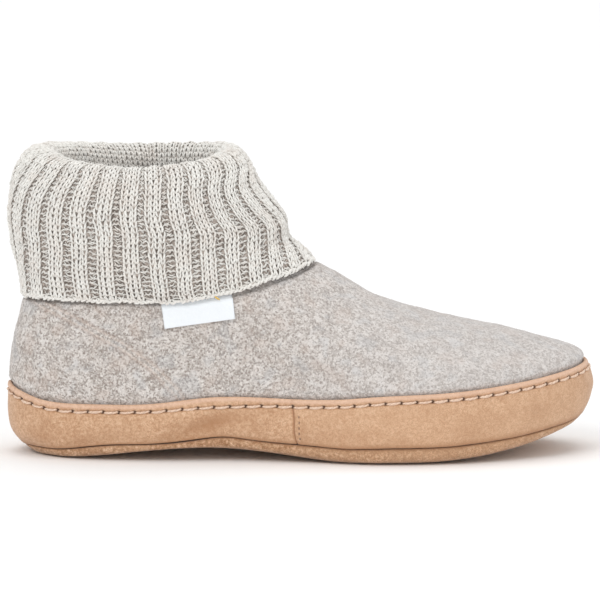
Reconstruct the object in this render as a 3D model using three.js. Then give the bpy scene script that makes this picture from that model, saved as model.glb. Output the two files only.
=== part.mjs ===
// A hut slipper: a boiled-wool felt upper on a soft suede sole, wrapped by a stitched suede side band,
// with a long rib-knit cuff that is folded over outwards. It is a right shoe.
// Millimetres. +X runs from heel to toe, +Y is the inner (medial) side, +Z is up.
// The origin is at the bottom centre of the shoe's bounding box.

import * as THREE from "three";

// Driving sizes
const LENGTH = 268; // heel to toe, over the suede band
const BALL_WIDTH = 102; // outer to inner side, over the suede band
const COLLAR_HEIGHT = 93; // floor to the felt's top edge at the heel
const FELT_WALL = 3;
const SUEDE_WALL = 1.8;
const SOLE_EDGE = 7.7; // height of the sole's side at the ball
const BAND_HEIGHT = 24; // height of the suede band above the sole
const ARCH_RISE = 5.6; // height of the waist's underside above the floor
const TOE_SPRING = 12.5; // height of the toe's underside above the floor
const INSOLE_THICKNESS = 4;
const CUFF_RISE = 47; // collar to the top of the fold
const CUFF_FLARE = 10; // how far the folded cuff stands out from the collar
const KNIT_WALL = 2.3;
const RIB_COUNT = 28;
const RIB_CREST = 0.4; // rib above the knit's mean face
const RIB_VALLEY = 0.6; // groove below the knit's mean face
const LABEL_WIDTH = 32.2;
const LABEL_DROP = 11.7; // what shows of the label below the cuff
const LABEL_TUCK = 0.6; // how many levels the label goes up under the cuff
const LABEL_THICKNESS = 0.4;
const LABEL_TILT = 0.2; // how much less of it shows at its toe end
const LABEL_LEAN = 1.6; // how far its lower edge is shifted towards the toe

// Clearances
const SEAM_GAP = 0.35; // between pieces that are sewn or glued together
const CUFF_GAP = 1.1; // between the felt and the cuff's hanging edge, with room for the label
const LABEL_GAP = 0.4; // between the felt and the label
const INSOLE_GAP = 0.7; // between the felt's inside and the insole

// Fineness of the meshes
const AROUND = 60; // steps round the shoe, even
const GIRTH_STEPS = 240; // steps in which a ring's girth is measured
const EDGE_STEPS = 72; // steps in which the cuff's edge is laid on the felt

// The widest outline seen from above, heel to toe in equal steps of angle.
// lateral and medial are shares of BALL_WIDTH from the centreline, seam is a share of SOLE_EDGE above the
// sole's underside, and band is a share of BAND_HEIGHT above the seam.
const STATIONS = [
  { lateral: 0, medial: 0, seam: 0.55, band: 1.142 },
  { lateral: 0.147, medial: 0.147, seam: 0.55, band: 1.057 },
  { lateral: 0.27, medial: 0.27, seam: 0.55, band: 0.907 },
  { lateral: 0.343, medial: 0.338, seam: 0.62, band: 0.778 },
  { lateral: 0.375, medial: 0.358, seam: 0.42, band: 0.754 },
  { lateral: 0.377, medial: 0.348, seam: 0.54, band: 0.84 },
  { lateral: 0.43, medial: 0.368, seam: 0.81, band: 0.872 },
  { lateral: 0.508, medial: 0.431, seam: 0.99, band: 0.983 },
  { lateral: 0.487, medial: 0.487, seam: 1.03, band: 1.021 },
  { lateral: 0.39, medial: 0.477, seam: 1.0, band: 1.022 },
  { lateral: 0.257, medial: 0.405, seam: 0.83, band: 1.011 },
  { lateral: 0.108, medial: 0.26, seam: 0.66, band: 0.996 },
  { lateral: -0.08, medial: 0.08, seam: 0.71, band: 0.951 },
];

// The side wall from the seam up to the band's top edge. up is a share of the band's height there, and
// rear, side and front are how far the form lies inside the widest outline, as shares of SUEDE_WALL.
const WALL_LEVELS = [
  { up: 0, rear: 3.7, side: 1.67, front: 2.2 },
  { up: 0.15, rear: 1.65, side: 0.83, front: 1.2 },
  { up: 0.32, rear: 0.5, side: 0.3, front: 0.5 },
  { up: 0.6, rear: 0, side: 0, front: 0 },
  { up: 1, rear: 0.3, side: 1, front: 1.7 },
];

// The felt above the band, ring by ring up to the collar. rear and front are shares of LENGTH, lateral and
// medial are shares of BALL_WIDTH, and the heights are shares of COLLAR_HEIGHT. foot is 1 where the ring has
// the outline of the foot and 0 where it is an oval.
const FELT_LEVELS = [
  {
    rear: 0.0045, front: 0.965, lateral: 0.464, medial: 0.453,
    rearZ: 0.43, sideZ: 0.41, frontZ: 0.505, foot: 1,
  },
  {
    rear: 0.0097, front: 0.869, lateral: 0.436, medial: 0.431,
    rearZ: 0.543, sideZ: 0.495, frontZ: 0.578, foot: 1,
  },
  {
    rear: 0.0164, front: 0.787, lateral: 0.407, medial: 0.402,
    rearZ: 0.624, sideZ: 0.58, frontZ: 0.628, foot: 1,
  },
  {
    rear: 0.0231, front: 0.705, lateral: 0.383, medial: 0.378,
    rearZ: 0.704, sideZ: 0.667, frontZ: 0.685, foot: 0.85,
  },
  {
    rear: 0.0306, front: 0.631, lateral: 0.363, medial: 0.363,
    rearZ: 0.785, sideZ: 0.753, frontZ: 0.756, foot: 0.6,
  },
  {
    rear: 0.0358, front: 0.551, lateral: 0.355, medial: 0.355,
    rearZ: 0.86, sideZ: 0.839, frontZ: 0.892, foot: 0.35,
  },
  {
    rear: 0.0388, front: 0.511, lateral: 0.353, medial: 0.353,
    rearZ: 0.935, sideZ: 0.919, frontZ: 0.946, foot: 0.15,
  },
  {
    rear: 0.041, front: 0.459, lateral: 0.353, medial: 0.353,
    rearZ: 1, sideZ: 0.989, frontZ: 1.015, foot: 0,
  },
];

// The cuff above the collar: up the outside, over the fold and down the inside. rise is a share of
// CUFF_RISE above the collar, and rear, side and front are shares of CUFF_FLARE outside the collar.
const CUFF_LEVELS = [
  { rise: 0.09, rear: 0.92, side: 0.55, front: 0.62 },
  { rise: 0.28, rear: 1.02, side: 0.62, front: 0.46 },
  { rise: 0.47, rear: 1, side: 0.58, front: -0.12 },
  { rise: 0.67, rear: 0.88, side: 0.42, front: -0.82 },
  { rise: 0.85, rear: 0.56, side: 0.15, front: -1.19 },
  { rise: 0.96, rear: 0.15, side: -0.15, front: -1.58 },
  { rise: 1, rear: -0.5, side: -0.48, front: -2.05 },
  { rise: 0.95, rear: -1.1, side: -0.88, front: -2.5 },
  { rise: 0.8, rear: -1.4, side: -1.1, front: -2.7 },
  { rise: 0.55, rear: -1.25, side: -0.95, front: -2.3 },
  { rise: 0.3, rear: -0.8, side: -0.65, front: -1.4 },
  { rise: 0.1, rear: -0.52, side: -0.5, front: -0.65 },
];
// How far the ribs have turned round the shoe in each row of the cuff's face, in ribs: the hanging edge, a
// row halfway up to the collar, then the rows of CUFF_LEVELS and the sewn edge
const RIB_TURNS = [
  { rear: -0.85, side: -0.9, front: -1.35 },
  { rear: -0.8, side: -0.65, front: -0.95 },
  { rear: -0.3, side: -0.22, front: -0.3 },
  { rear: -0.3, side: -0.1, front: -0.22 },
  { rear: -0.15, side: 0.02, front: -0.48 },
  { rear: 0.2, side: 0.3, front: -0.4 },
  { rear: 0.6, side: 0.4, front: 0.35 },
  { rear: 0.6, side: 0.45, front: 0.5 },
  { rear: 0.5, side: 0.45, front: 0.5 },
  { rear: 0.4, side: 0.4, front: 0.4 },
  { rear: 0.3, side: 0.3, front: 0.3 },
  { rear: 0.15, side: 0.15, front: 0.15 },
  { rear: 0, side: 0, front: 0 },
  { rear: 0, side: 0, front: 0 },
  { rear: 0, side: 0, front: 0 },
];
const CUFF_SIDE_DIP = 0.088; // how much lower the fold runs at the sides, as a share of CUFF_RISE
const CUFF_LEAN = 0.032; // how much lower it runs on the outer side and higher on the inner side
const CUFF_MID_BULGE = 0.35; // how far the knit stands off the felt above its edge, in shares of CUFF_FLARE
const CUFF_PRESS = 2; // how deep the cuff's elastic edge presses the felt in
const PRESS_RAMP = 0.24; // levels below the edge over which it does so

// Height of the cuff's hanging edge, in shares of COLLAR_HEIGHT: level round the heel, higher at the front
const CUFF_EDGE = { rear: 0.773, front: 0.945, climbStart: 0.45, climbPower: 1.15 };

// Levels, in rows of the joined tables WALL_LEVELS and FELT_LEVELS
const FELT_EMERGES = 0.3; // over this much above the band the felt comes out from behind it
const BAND_TOP = WALL_LEVELS.length - 1;
const COLLAR = BAND_TOP + FELT_LEVELS.length;

// The underside is flat at the heel and ball, and the waist and the toe leave the floor at these shares of
// LENGTH.
const ARCH_START = 0.05;
const ARCH_END = 0.59;
const ARCH_POWER = 1.5;
const SPRING_START = 0.69;
const SPRING_POWER = 2.4;

// The sole's side from its top edge down: down is a share of the sole's edge height, and rear, side and
// front are how far it lies outside the seam, in shares of SUEDE_WALL.
const SOLE_LEVELS = [
  { down: 0, rear: -0.6, side: -0.4, front: -0.6 },
  { down: 0.15, rear: -0.7, side: 0.2, front: -0.5 },
  { down: 0.5, rear: -1.5, side: 0.25, front: -1.3 },
  { down: 0.82, rear: -2.6, side: -0.8, front: -3 },
  { down: 1, rear: -3.8, side: -3.6, front: -5.5 },
];

// The sole's top edge rises in a short wave at the waist. at and half are where it is and how far it reaches
// each way, as shares of LENGTH, and rise is a share of SOLE_EDGE.
const SOLE_WAVE = { at: 0.3615, half: 0.055, rise: 0.24 };

// The suede band is made of a heel piece and a toe piece, joined at both sides of the waist.
const BAND_SEAM = 0.489; // share of LENGTH
const BAND_ROWS = [0, 0.5, 1, 2, 3, 3.6, 4]; // levels of the band's rows
const LABEL_START = 0.2643; // where the label starts, as a share of LENGTH

const mix = (a, b, t) => a + (b - a) * t;

// Smooth curve through b (t = 0) and c (t = 1)
function cubic(a, b, c, d, t) {
  return b + 0.5 * t * (c - a + t * (2 * a - 5 * b + 4 * c - d + t * (3 * (b - c) + d - a)));
}

// Value of a closed table of equal steps of angle at theta
function closedCurve(values, theta) {
  const n = values.length;
  const place = ((theta / (2 * Math.PI)) * n + n) % n;
  const k = Math.floor(place);
  const at = (i) => values[(k + i + n) % n];
  return cubic(at(-1), at(0), at(1), at(2), place - k);
}

// One column of STATIONS round the whole outline: heel, outer side, toe, inner side
function roundTable(outer, inner) {
  const steps = STATIONS.length - 1;
  return Array.from({ length: 2 * steps }, (_, k) =>
    k <= steps ? outer(STATIONS[k]) : inner(STATIONS[2 * steps - k]),
  );
}
const OUTLINE = roundTable((row) => -row.lateral, (row) => row.medial);
const SEAM = roundTable((row) => row.seam, (row) => row.seam);
const BAND = roundTable((row) => row.band, (row) => row.band);
const WIDEST = {
  lateral: Math.max(...STATIONS.map((row) => row.lateral)),
  medial: Math.max(...STATIONS.map((row) => row.medial)),
};

const along = (theta) => (1 - Math.cos(theta)) / 2; // share of a ring's length, 0 at the heel

// Height of the sole's underside at a share of the length
function floorHeight(share) {
  const arch = (share - ARCH_START) / (ARCH_END - ARCH_START);
  const spring = (share - SPRING_START) / (1 - SPRING_START);
  return (
    (arch > 0 && arch < 1 ? ARCH_RISE * Math.sin(Math.PI * arch) ** ARCH_POWER : 0) +
    (spring > 0 ? TOE_SPRING * spring ** SPRING_POWER : 0)
  );
}

// Height of the sole's top edge, where the band starts. wave is 1 there, and 0 for the line that the band's
// top edge follows.
function seamHeight(theta, wave = 1) {
  const share = along(theta);
  const rise = SOLE_WAVE.rise * Math.exp(-(((share - SOLE_WAVE.at) / SOLE_WAVE.half) ** 2));
  return floorHeight(share) + SOLE_EDGE * (closedCurve(SEAM, theta) + wave * rise);
}

// A value that goes from rear over side to front round a ring
function aroundRing(row, theta) {
  const c = Math.cos(theta);
  return row.side * (1 - c ** 2) + mix(row.rear, row.front, (1 - c) / 2) * c ** 2;
}

// A ring with the foot's outline, pulled in from the widest one by inset.rear, .side and .front
function footRing(theta, inset) {
  const across = closedCurve(OUTLINE, theta) * BALL_WIDTH;
  return {
    x: mix(inset.rear, LENGTH - inset.front, along(theta)),
    y: across * (1 - inset.side / (WIDEST.lateral * BALL_WIDTH)),
  };
}

const scaled = (row, size) => ({ rear: row.rear * size, side: row.side * size, front: row.front * size });

function wallPoint(theta, row) {
  const plan = footRing(theta, scaled(row, SUEDE_WALL));
  const drop = BAND_HEIGHT * closedCurve(BAND, theta);
  return new THREE.Vector3(plan.x, plan.y, seamHeight(theta, 1 - row.up) + row.up * drop);
}

function feltPoint(theta, row) {
  const across = closedCurve(OUTLINE, theta);
  const outer = Math.sin(theta) >= 0;
  const half = (outer ? row.lateral : row.medial) * BALL_WIDTH;
  const foot = across / (outer ? WIDEST.lateral : WIDEST.medial);
  const height = aroundRing({ rear: row.rearZ, side: row.sideZ, front: row.frontZ }, theta);
  return new THREE.Vector3(
    mix(row.rear, row.front, along(theta)) * LENGTH,
    half * mix(-Math.sin(theta), foot, row.foot),
    height * COLLAR_HEIGHT,
  );
}

const formRow = (theta, k) =>
  k <= BAND_TOP ? wallPoint(theta, WALL_LEVELS[k]) : feltPoint(theta, FELT_LEVELS[k - BAND_TOP - 1]);

// Point on a surface given row by row, at a level between two rows
function betweenRows(pointAt, last, level) {
  const k = Math.min(Math.max(Math.floor(level), 0), last - 1);
  const b = pointAt(k);
  const c = pointAt(k + 1);
  const a = k > 0 ? pointAt(k - 1) : b.clone().multiplyScalar(2).sub(c);
  const d = k + 2 <= last ? pointAt(k + 2) : c.clone().multiplyScalar(2).sub(b);
  const t = level - k;
  return new THREE.Vector3(
    cubic(a.x, b.x, c.x, d.x, t),
    cubic(a.y, b.y, c.y, d.y, t),
    cubic(a.z, b.z, c.z, d.z, t),
  );
}

// A surface's point moved out along its own normal
function offsetPoint(surface, theta, level, out) {
  const turn = 0.01;
  const step = 0.04;
  const low = Math.max(level - step, 0);
  const alongTheta = surface(theta + turn, level).sub(surface(theta - turn, level));
  const alongLevel = surface(theta, low + 2 * step).sub(surface(theta, low));
  const normal = alongTheta.cross(alongLevel).normalize();
  return surface(theta, level).addScaledVector(normal, out);
}

// The shoe's outer form: the band's outer face, then the felt's outer face up to the collar
const form = (theta, level) => betweenRows((k) => formRow(theta, k), COLLAR, level);
const formOffset = (theta, level, out) => offsetPoint(form, theta, level, out);

// Level at which a surface's point stands at a height
function levelAtHeight(theta, out, height, from, to) {
  let low = from;
  let high = to;
  for (let i = 0; i < 20; i++) {
    const middle = (low + high) / 2;
    if (formOffset(theta, middle, out).z < height) low = middle;
    else high = middle;
  }
  return low;
}

// Where the cuff's hanging edge lies on the felt, and how far its face is from the form there
const EDGE_OUT = CUFF_GAP + KNIT_WALL - CUFF_PRESS;
function edgeLevelAt(theta) {
  const climb = Math.max((along(theta) - CUFF_EDGE.climbStart) / (1 - CUFF_EDGE.climbStart), 0);
  const height = mix(CUFF_EDGE.rear, CUFF_EDGE.front, climb ** CUFF_EDGE.climbPower) * COLLAR_HEIGHT;
  return levelAtHeight(theta, EDGE_OUT, height, BAND_TOP, COLLAR);
}
const EDGE_LEVELS = Array.from({ length: EDGE_STEPS }, (_, i) =>
  edgeLevelAt((i / EDGE_STEPS) * 2 * Math.PI),
);
const edgeLevel = (theta) => closedCurve(EDGE_LEVELS, theta);

const clamp01 = (value) => Math.min(Math.max(value, 0), 1);

// A point over the felt's outer face. The felt runs behind the band and comes out to the form just above
// it, and the cuff's edge presses it in.
function overFelt(theta, level, out) {
  const behind = (SUEDE_WALL + SEAM_GAP) * (1 - clamp01((level - BAND_TOP) / FELT_EMERGES));
  const pressed = CUFF_PRESS * clamp01((level - edgeLevel(theta)) / PRESS_RAMP + 1);
  return formOffset(theta, level, out - behind - pressed);
}

const LAST_FELT = FELT_LEVELS[FELT_LEVELS.length - 1];

function cuffRing(theta, row) {
  const out = scaled(row, CUFF_FLARE);
  const base = feltPoint(theta, LAST_FELT);
  const rear = LAST_FELT.rear * LENGTH - out.rear;
  const front = LAST_FELT.front * LENGTH + out.front;
  const half = LAST_FELT.lateral * BALL_WIDTH + out.side;
  const across = Math.sin(theta);
  const rise = row.rise * CUFF_RISE * (1 - CUFF_SIDE_DIP * across ** 2 - CUFF_LEAN * across);
  const start = mix(base.z, COLLAR_HEIGHT, row.rise);
  return new THREE.Vector3(mix(rear, front, along(theta)), -half * across, start + rise);
}

// Rows of the cuff's face: two over the felt, then CUFF_LEVELS, then the sewn edge on the felt's rim
function cuffRow(theta, k) {
  if (k < 2) {
    const level = mix(edgeLevel(theta), COLLAR, k * 0.5);
    return formOffset(theta, level, EDGE_OUT + k * CUFF_MID_BULGE * CUFF_FLARE);
  }
  if (k < 2 + CUFF_LEVELS.length) return cuffRing(theta, CUFF_LEVELS[k - 2]);
  const rim = overFelt(theta, COLLAR, -FELT_WALL);
  rim.z = Math.max(rim.z, overFelt(theta, COLLAR, 0).z) + 2.5 * SEAM_GAP;
  return rim;
}
const CUFF_LAST = CUFF_LEVELS.length + 2;
const cuffFace = (theta, level) => betweenRows((k) => cuffRow(theta, k), CUFF_LAST, level);

// Girth of the cuff up to each of equal steps of angle, for every row of its face
const GIRTHS = Array.from({ length: CUFF_LAST + 1 }, (_, k) => {
  const points = Array.from({ length: GIRTH_STEPS + 1 }, (_, i) =>
    cuffRow((i / GIRTH_STEPS) * 2 * Math.PI, k),
  );
  const girth = [0];
  points.slice(1).forEach((point, i) => girth.push(girth[i] + point.distanceTo(points[i])));
  return girth;
});

// Angle at a share of the girth of row k, from the heel over the outer side
function girthAngle(share, k) {
  const girth = GIRTHS[k];
  const wanted = (share - Math.floor(share)) * girth[GIRTH_STEPS];
  const i = girth.findIndex((value) => value > wanted) - 1;
  const turns = Math.floor(share) + (i + (wanted - girth[i]) / (girth[i + 1] - girth[i])) / GIRTH_STEPS;
  return turns * 2 * Math.PI;
}

// Angle at which a rib lies at a level of the cuff. ribs counts from the heel.
function ribAngle(rib, level) {
  const share = rib / RIB_COUNT;
  const at = (row) => {
    const k = Math.min(Math.max(row, 0), CUFF_LAST);
    return girthAngle(share + aroundRing(RIB_TURNS[k], share * 2 * Math.PI) / RIB_COUNT, k);
  };
  const k = Math.min(Math.floor(level), CUFF_LAST - 1);
  return cubic(at(k - 1), at(k), at(k + 1), at(k + 2), level - k);
}

const triangle = (out, a, b, c) => out.push(a.x, a.y, a.z, b.x, b.y, b.z, c.x, c.y, c.z);
function quad(out, a, b, c, d) {
  triangle(out, a, b, c);
  triangle(out, a, c, d);
}

function geometryOf(corners) {
  const geometry = new THREE.BufferGeometry();
  geometry.setAttribute("position", new THREE.Float32BufferAttribute(corners, 3));
  geometry.computeVertexNormals();
  return geometry;
}

// A wall with a face and a back, swept round. sections holds { face, back }, lists of points from the
// wall's lower to its upper edge. An open sweep gets two end caps.
function wallSolid(sections, closed) {
  const loops = sections.map(({ face, back }) => [...face, ...back.slice().reverse()]);
  const out = [];
  const last = closed ? loops.length : loops.length - 1;
  for (let i = 0; i < last; i++) {
    const here = loops[i];
    const next = loops[(i + 1) % loops.length];
    here.forEach((_, k) => {
      const m = (k + 1) % here.length;
      quad(out, here[k], next[k], next[m], here[m]);
    });
  }
  if (!closed) {
    const ends = [sections[0], sections[sections.length - 1]];
    ends.forEach(({ face, back }, end) => {
      for (let k = 0; k + 1 < face.length; k++) {
        if (end === 0) quad(out, face[k], face[k + 1], back[k + 1], back[k]);
        else quad(out, face[k], back[k], back[k + 1], face[k + 1]);
      }
    });
  }
  return geometryOf(out);
}

// A pad: rings from its lower to its upper face, each closed by a ladder from the outer to the inner side
function padSolid(rings) {
  const out = [];
  const n = rings[0].length;
  for (let k = 0; k + 1 < rings.length; k++) {
    for (let i = 0; i < n; i++) {
      const j = (i + 1) % n;
      quad(out, rings[k][i], rings[k][j], rings[k + 1][j], rings[k + 1][i]);
    }
  }
  const ladder = (ring, up) => {
    for (let i = 0; i < n / 2; i++) {
      const corners = [ring[i], ring[i + 1], ring[(n - i - 1) % n], ring[(n - i) % n]];
      if (i === 0) corners.pop();
      if (i === n / 2 - 1) corners.splice(2, 1);
      if (!up) corners.reverse();
      triangle(out, corners[0], corners[1], corners[2]);
      if (corners.length === 4) triangle(out, corners[0], corners[2], corners[3]);
    }
  };
  ladder(rings[0], false);
  ladder(rings[rings.length - 1], true);
  return geometryOf(out);
}

const angles = Array.from({ length: AROUND }, (_, i) => (i / AROUND) * 2 * Math.PI);
const range = (count, from, to) => Array.from({ length: count + 1 }, (_, i) => mix(from, to, i / count));

function upperGeometry() {
  const sections = angles.map((theta) => {
    const edge = edgeLevel(theta);
    const hidden = [0, 1, 2, BAND_TOP, BAND_TOP + FELT_EMERGES];
    const shown = range(6, BAND_TOP + 0.75, edge - PRESS_RAMP);
    const covered = [edge, ...range(3, edge + 2 * PRESS_RAMP, COLLAR)];
    const rows = [...hidden, ...shown, ...covered];
    return {
      face: rows.map((level) => overFelt(theta, level, 0)),
      back: rows.map((level) => overFelt(theta, level, -FELT_WALL)),
    };
  });
  return wallSolid(sections, true);
}

// A piece of the band between two angles
function bandGeometry(from, to) {
  const steps = Math.round(((to - from) / (2 * Math.PI)) * AROUND);
  const sections = range(steps, from, to).map((theta) => ({
    face: BAND_ROWS.map((level) => formOffset(theta, level, 0)),
    back: BAND_ROWS.map((level) => formOffset(theta, level, -SUEDE_WALL)),
  }));
  return wallSolid(sections, false);
}

function soleGeometry() {
  const seam = WALL_LEVELS[0];
  const rings = SOLE_LEVELS.map((row) => {
    const inset = { rear: seam.rear - row.rear, side: seam.side - row.side, front: seam.front - row.front };
    return angles.map((theta) => {
      const plan = footRing(theta, scaled(inset, SUEDE_WALL));
      const top = seamHeight(theta) - SEAM_GAP;
      return new THREE.Vector3(plan.x, plan.y, mix(top, floorHeight(along(theta)), row.down));
    });
  });
  return padSolid(rings.reverse());
}

// Point of a wall's offset face at a height near the sole
function pointAtHeight(theta, out, height) {
  const point = formOffset(theta, levelAtHeight(theta, out, height, 0, BAND_TOP), out);
  point.z = height;
  return point;
}

function insoleGeometry() {
  const walls = SUEDE_WALL + SEAM_GAP + FELT_WALL + INSOLE_GAP;
  const ring = (up) =>
    angles.map((theta) => pointAtHeight(theta, -walls, seamHeight(theta) + SEAM_GAP + up));
  return padSolid([ring(0), ring(INSOLE_THICKNESS / 2), ring(INSOLE_THICKNESS)]);
}

// The knit cuff: its face is ribbed, and its back is plain
function cuffGeometry() {
  const faceRows = [0, 0.5, 1, 1.6, 2.4, 3.3, 4.2, 5.1, 6, 7, 8, 9, 10, 11.2, 12.6, CUFF_LAST];
  const backRows = [0, 1, 2.2, 3.3, 4.6, 6, 7, 8, 9, 10, 11.5, CUFF_LAST];
  const profile = [
    { place: 0.23, out: RIB_CREST },
    { place: 0.77, out: RIB_CREST },
    { place: 1, out: -RIB_VALLEY },
  ];
  const sections = [];
  for (let i = 0; i < RIB_COUNT; i++) {
    for (const { place, out } of profile) {
      const at = (level, offset) => offsetPoint(cuffFace, ribAngle(i + place, level), level, offset);
      sections.push({
        face: faceRows.map((level) => at(level, out)),
        back: backRows.map((level) => at(level, -KNIT_WALL)),
      });
    }
  }
  return wallSolid(sections, true);
}

// Angle at which the felt's outer half has a given x at a level
function angleAtX(x, level) {
  let low = 0;
  let high = Math.PI;
  for (let i = 0; i < 20; i++) {
    const middle = (low + high) / 2;
    if (form(middle, level).x < x) low = middle;
    else high = middle;
  }
  return low;
}

// Angle over the felt's outer side at a given x, where levelAt gives the level from the angle
function angleBeside(x, levelAt) {
  let theta = Math.PI / 2;
  for (let i = 0; i < 8; i++) theta = angleAtX(x, levelAt(theta));
  return theta;
}

// A flat woven tab on the felt, tucked under the cuff's edge. Its lower edge is straight.
function labelGeometry() {
  const rows = [1, 2 / 3, 1 / 3];
  const start = LABEL_START * LENGTH;
  const cuffEdge = (x) => {
    const theta = angleBeside(x, edgeLevel);
    return formOffset(theta, edgeLevel(theta), EDGE_OUT).z;
  };
  const heelCorner = cuffEdge(start) - LABEL_DROP;
  const toeCorner = cuffEdge(start + LABEL_WIDTH) - LABEL_DROP + LABEL_TILT;
  const sections = range(8, 0, 1).map((across) => {
    const x = start + across * LABEL_WIDTH;
    const top = cuffEdge(x);
    const lowest = mix(heelCorner, toeCorner, across);
    const shown = rows.map((share) => {
      const height = mix(top, lowest, share);
      const levelAt = (theta) => levelAtHeight(theta, 0, height, BAND_TOP, COLLAR);
      const theta = angleBeside(x + LABEL_LEAN * share, levelAt);
      return { theta, level: levelAt(theta) };
    });
    const covered = [-PRESS_RAMP, 0, LABEL_TUCK].map((above) => {
      const levelAt = (theta) => edgeLevel(theta) + above;
      const theta = angleBeside(x, levelAt);
      return { theta, level: levelAt(theta) };
    });
    const places = [...shown, ...covered];
    return {
      face: places.map(({ theta, level }) => overFelt(theta, level, LABEL_GAP + LABEL_THICKNESS)),
      back: places.map(({ theta, level }) => overFelt(theta, level, LABEL_GAP)),
    };
  });
  return wallSolid(sections, false);
}

const COLOURS = {
  felt: 0xb9b0a8,
  suede: 0xcfa57d,
  sole: 0xbf9166,
  insole: 0xa79f96,
  knit: 0xd5d1c9,
  label: 0xf2f3f4,
};

function addPiece(group, name, geometry, colour, roughness) {
  const material = new THREE.MeshStandardMaterial({ color: colour, roughness, metalness: 0 });
  const mesh = new THREE.Mesh(geometry, material);
  mesh.name = name;
  group.add(mesh);
}

const shoe = new THREE.Group();
addPiece(shoe, "outsole", soleGeometry(), COLOURS.sole, 0.95);
addPiece(shoe, "insole", insoleGeometry(), COLOURS.insole, 1);
addPiece(shoe, "upper", upperGeometry(), COLOURS.felt, 1);
addPiece(shoe, "cuff", cuffGeometry(), COLOURS.knit, 1);
addPiece(shoe, "label", labelGeometry(), COLOURS.label, 0.6);

// The band's two joins, at the same share of the length on the outer and the inner side
const seamAngle = Math.acos(1 - 2 * BAND_SEAM);
const seamTurn = SEAM_GAP / 2 / (LENGTH / 2);
const heelBand = bandGeometry(-seamAngle + seamTurn, seamAngle - seamTurn);
const toeBand = bandGeometry(seamAngle + seamTurn, 2 * Math.PI - seamAngle - seamTurn);
addPiece(shoe, "band_heel", heelBand, COLOURS.suede, 0.95);
addPiece(shoe, "band_toe", toeBand, COLOURS.suede, 0.95);

const bounds = new THREE.Box3().setFromObject(shoe);
const centre = bounds.getCenter(new THREE.Vector3());
shoe.position.set(-centre.x, -centre.y, -bounds.min.z);

export default shoe;
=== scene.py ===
import math

import bpy
import numpy as np
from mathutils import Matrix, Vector


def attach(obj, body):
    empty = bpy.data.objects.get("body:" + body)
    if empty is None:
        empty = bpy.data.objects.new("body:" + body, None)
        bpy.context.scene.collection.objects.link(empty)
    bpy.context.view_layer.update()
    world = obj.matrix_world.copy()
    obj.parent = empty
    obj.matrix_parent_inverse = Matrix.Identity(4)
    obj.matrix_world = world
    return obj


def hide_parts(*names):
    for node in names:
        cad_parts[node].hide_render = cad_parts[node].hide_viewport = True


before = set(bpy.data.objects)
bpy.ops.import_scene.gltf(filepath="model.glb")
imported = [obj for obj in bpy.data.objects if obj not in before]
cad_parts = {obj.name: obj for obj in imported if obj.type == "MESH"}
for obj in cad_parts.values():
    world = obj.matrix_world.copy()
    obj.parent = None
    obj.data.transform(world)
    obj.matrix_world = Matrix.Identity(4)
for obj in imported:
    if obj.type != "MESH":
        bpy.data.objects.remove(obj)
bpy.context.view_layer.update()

TURN = 2 * math.pi
MM = 0.001

# Driving sizes in millimetres, as in the CAD model
LENGTH = 268
BALL_WIDTH = 102
COLLAR_HEIGHT = 93
FELT_WALL = 3
SUEDE_WALL = 1.8
SOLE_EDGE = 7.7
BAND_HEIGHT = 24
ARCH_RISE = 5.6
TOE_SPRING = 12.5
INSOLE_THICKNESS = 4
CUFF_RISE = 47
CUFF_FLARE = 10
KNIT_WALL = 2.3
RIB_COUNT = 28
LABEL_WIDTH = 32.2
LABEL_DROP = 11.7
LABEL_TUCK = 0.6
LABEL_THICKNESS = 0.4
LABEL_TILT = 0.2
LABEL_LEAN = 1.6
SEAM_GAP = 0.35
CUFF_GAP = 1.1
LABEL_GAP = 0.4
INSOLE_GAP = 0.7

# Outline heel to toe in equal steps of angle: lateral, medial, seam and band
STATIONS = np.array([
    (0, 0, 0.55, 1.142),
    (0.147, 0.147, 0.55, 1.057),
    (0.27, 0.27, 0.55, 0.907),
    (0.343, 0.338, 0.62, 0.778),
    (0.375, 0.358, 0.42, 0.754),
    (0.377, 0.348, 0.54, 0.84),
    (0.43, 0.368, 0.81, 0.872),
    (0.508, 0.431, 0.99, 0.983),
    (0.487, 0.487, 1.03, 1.021),
    (0.39, 0.477, 1.0, 1.022),
    (0.257, 0.405, 0.83, 1.011),
    (0.108, 0.26, 0.66, 0.996),
    (-0.08, 0.08, 0.71, 0.951),
])
# Side wall from the seam up: up, and how far it lies in at the rear, side and front
WALL_LEVELS = [
    (0, 3.7, 1.67, 2.2),
    (0.15, 1.65, 0.83, 1.2),
    (0.32, 0.5, 0.3, 0.5),
    (0.6, 0, 0, 0),
    (1, 0.3, 1, 1.7),
]
# Felt rings: rear, front, lateral, medial, heights at the rear, side and front, and how much of a foot it is
FELT_LEVELS = [
    (0.0045, 0.965, 0.464, 0.453, 0.43, 0.41, 0.505, 1),
    (0.0097, 0.869, 0.436, 0.431, 0.543, 0.495, 0.578, 1),
    (0.0164, 0.787, 0.407, 0.402, 0.624, 0.58, 0.628, 1),
    (0.0231, 0.705, 0.383, 0.378, 0.704, 0.667, 0.685, 0.85),
    (0.0306, 0.631, 0.363, 0.363, 0.785, 0.753, 0.756, 0.6),
    (0.0358, 0.551, 0.355, 0.355, 0.86, 0.839, 0.892, 0.35),
    (0.0388, 0.511, 0.353, 0.353, 0.935, 0.919, 0.946, 0.15),
    (0.041, 0.459, 0.353, 0.353, 1, 0.989, 1.015, 0),
]
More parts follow.
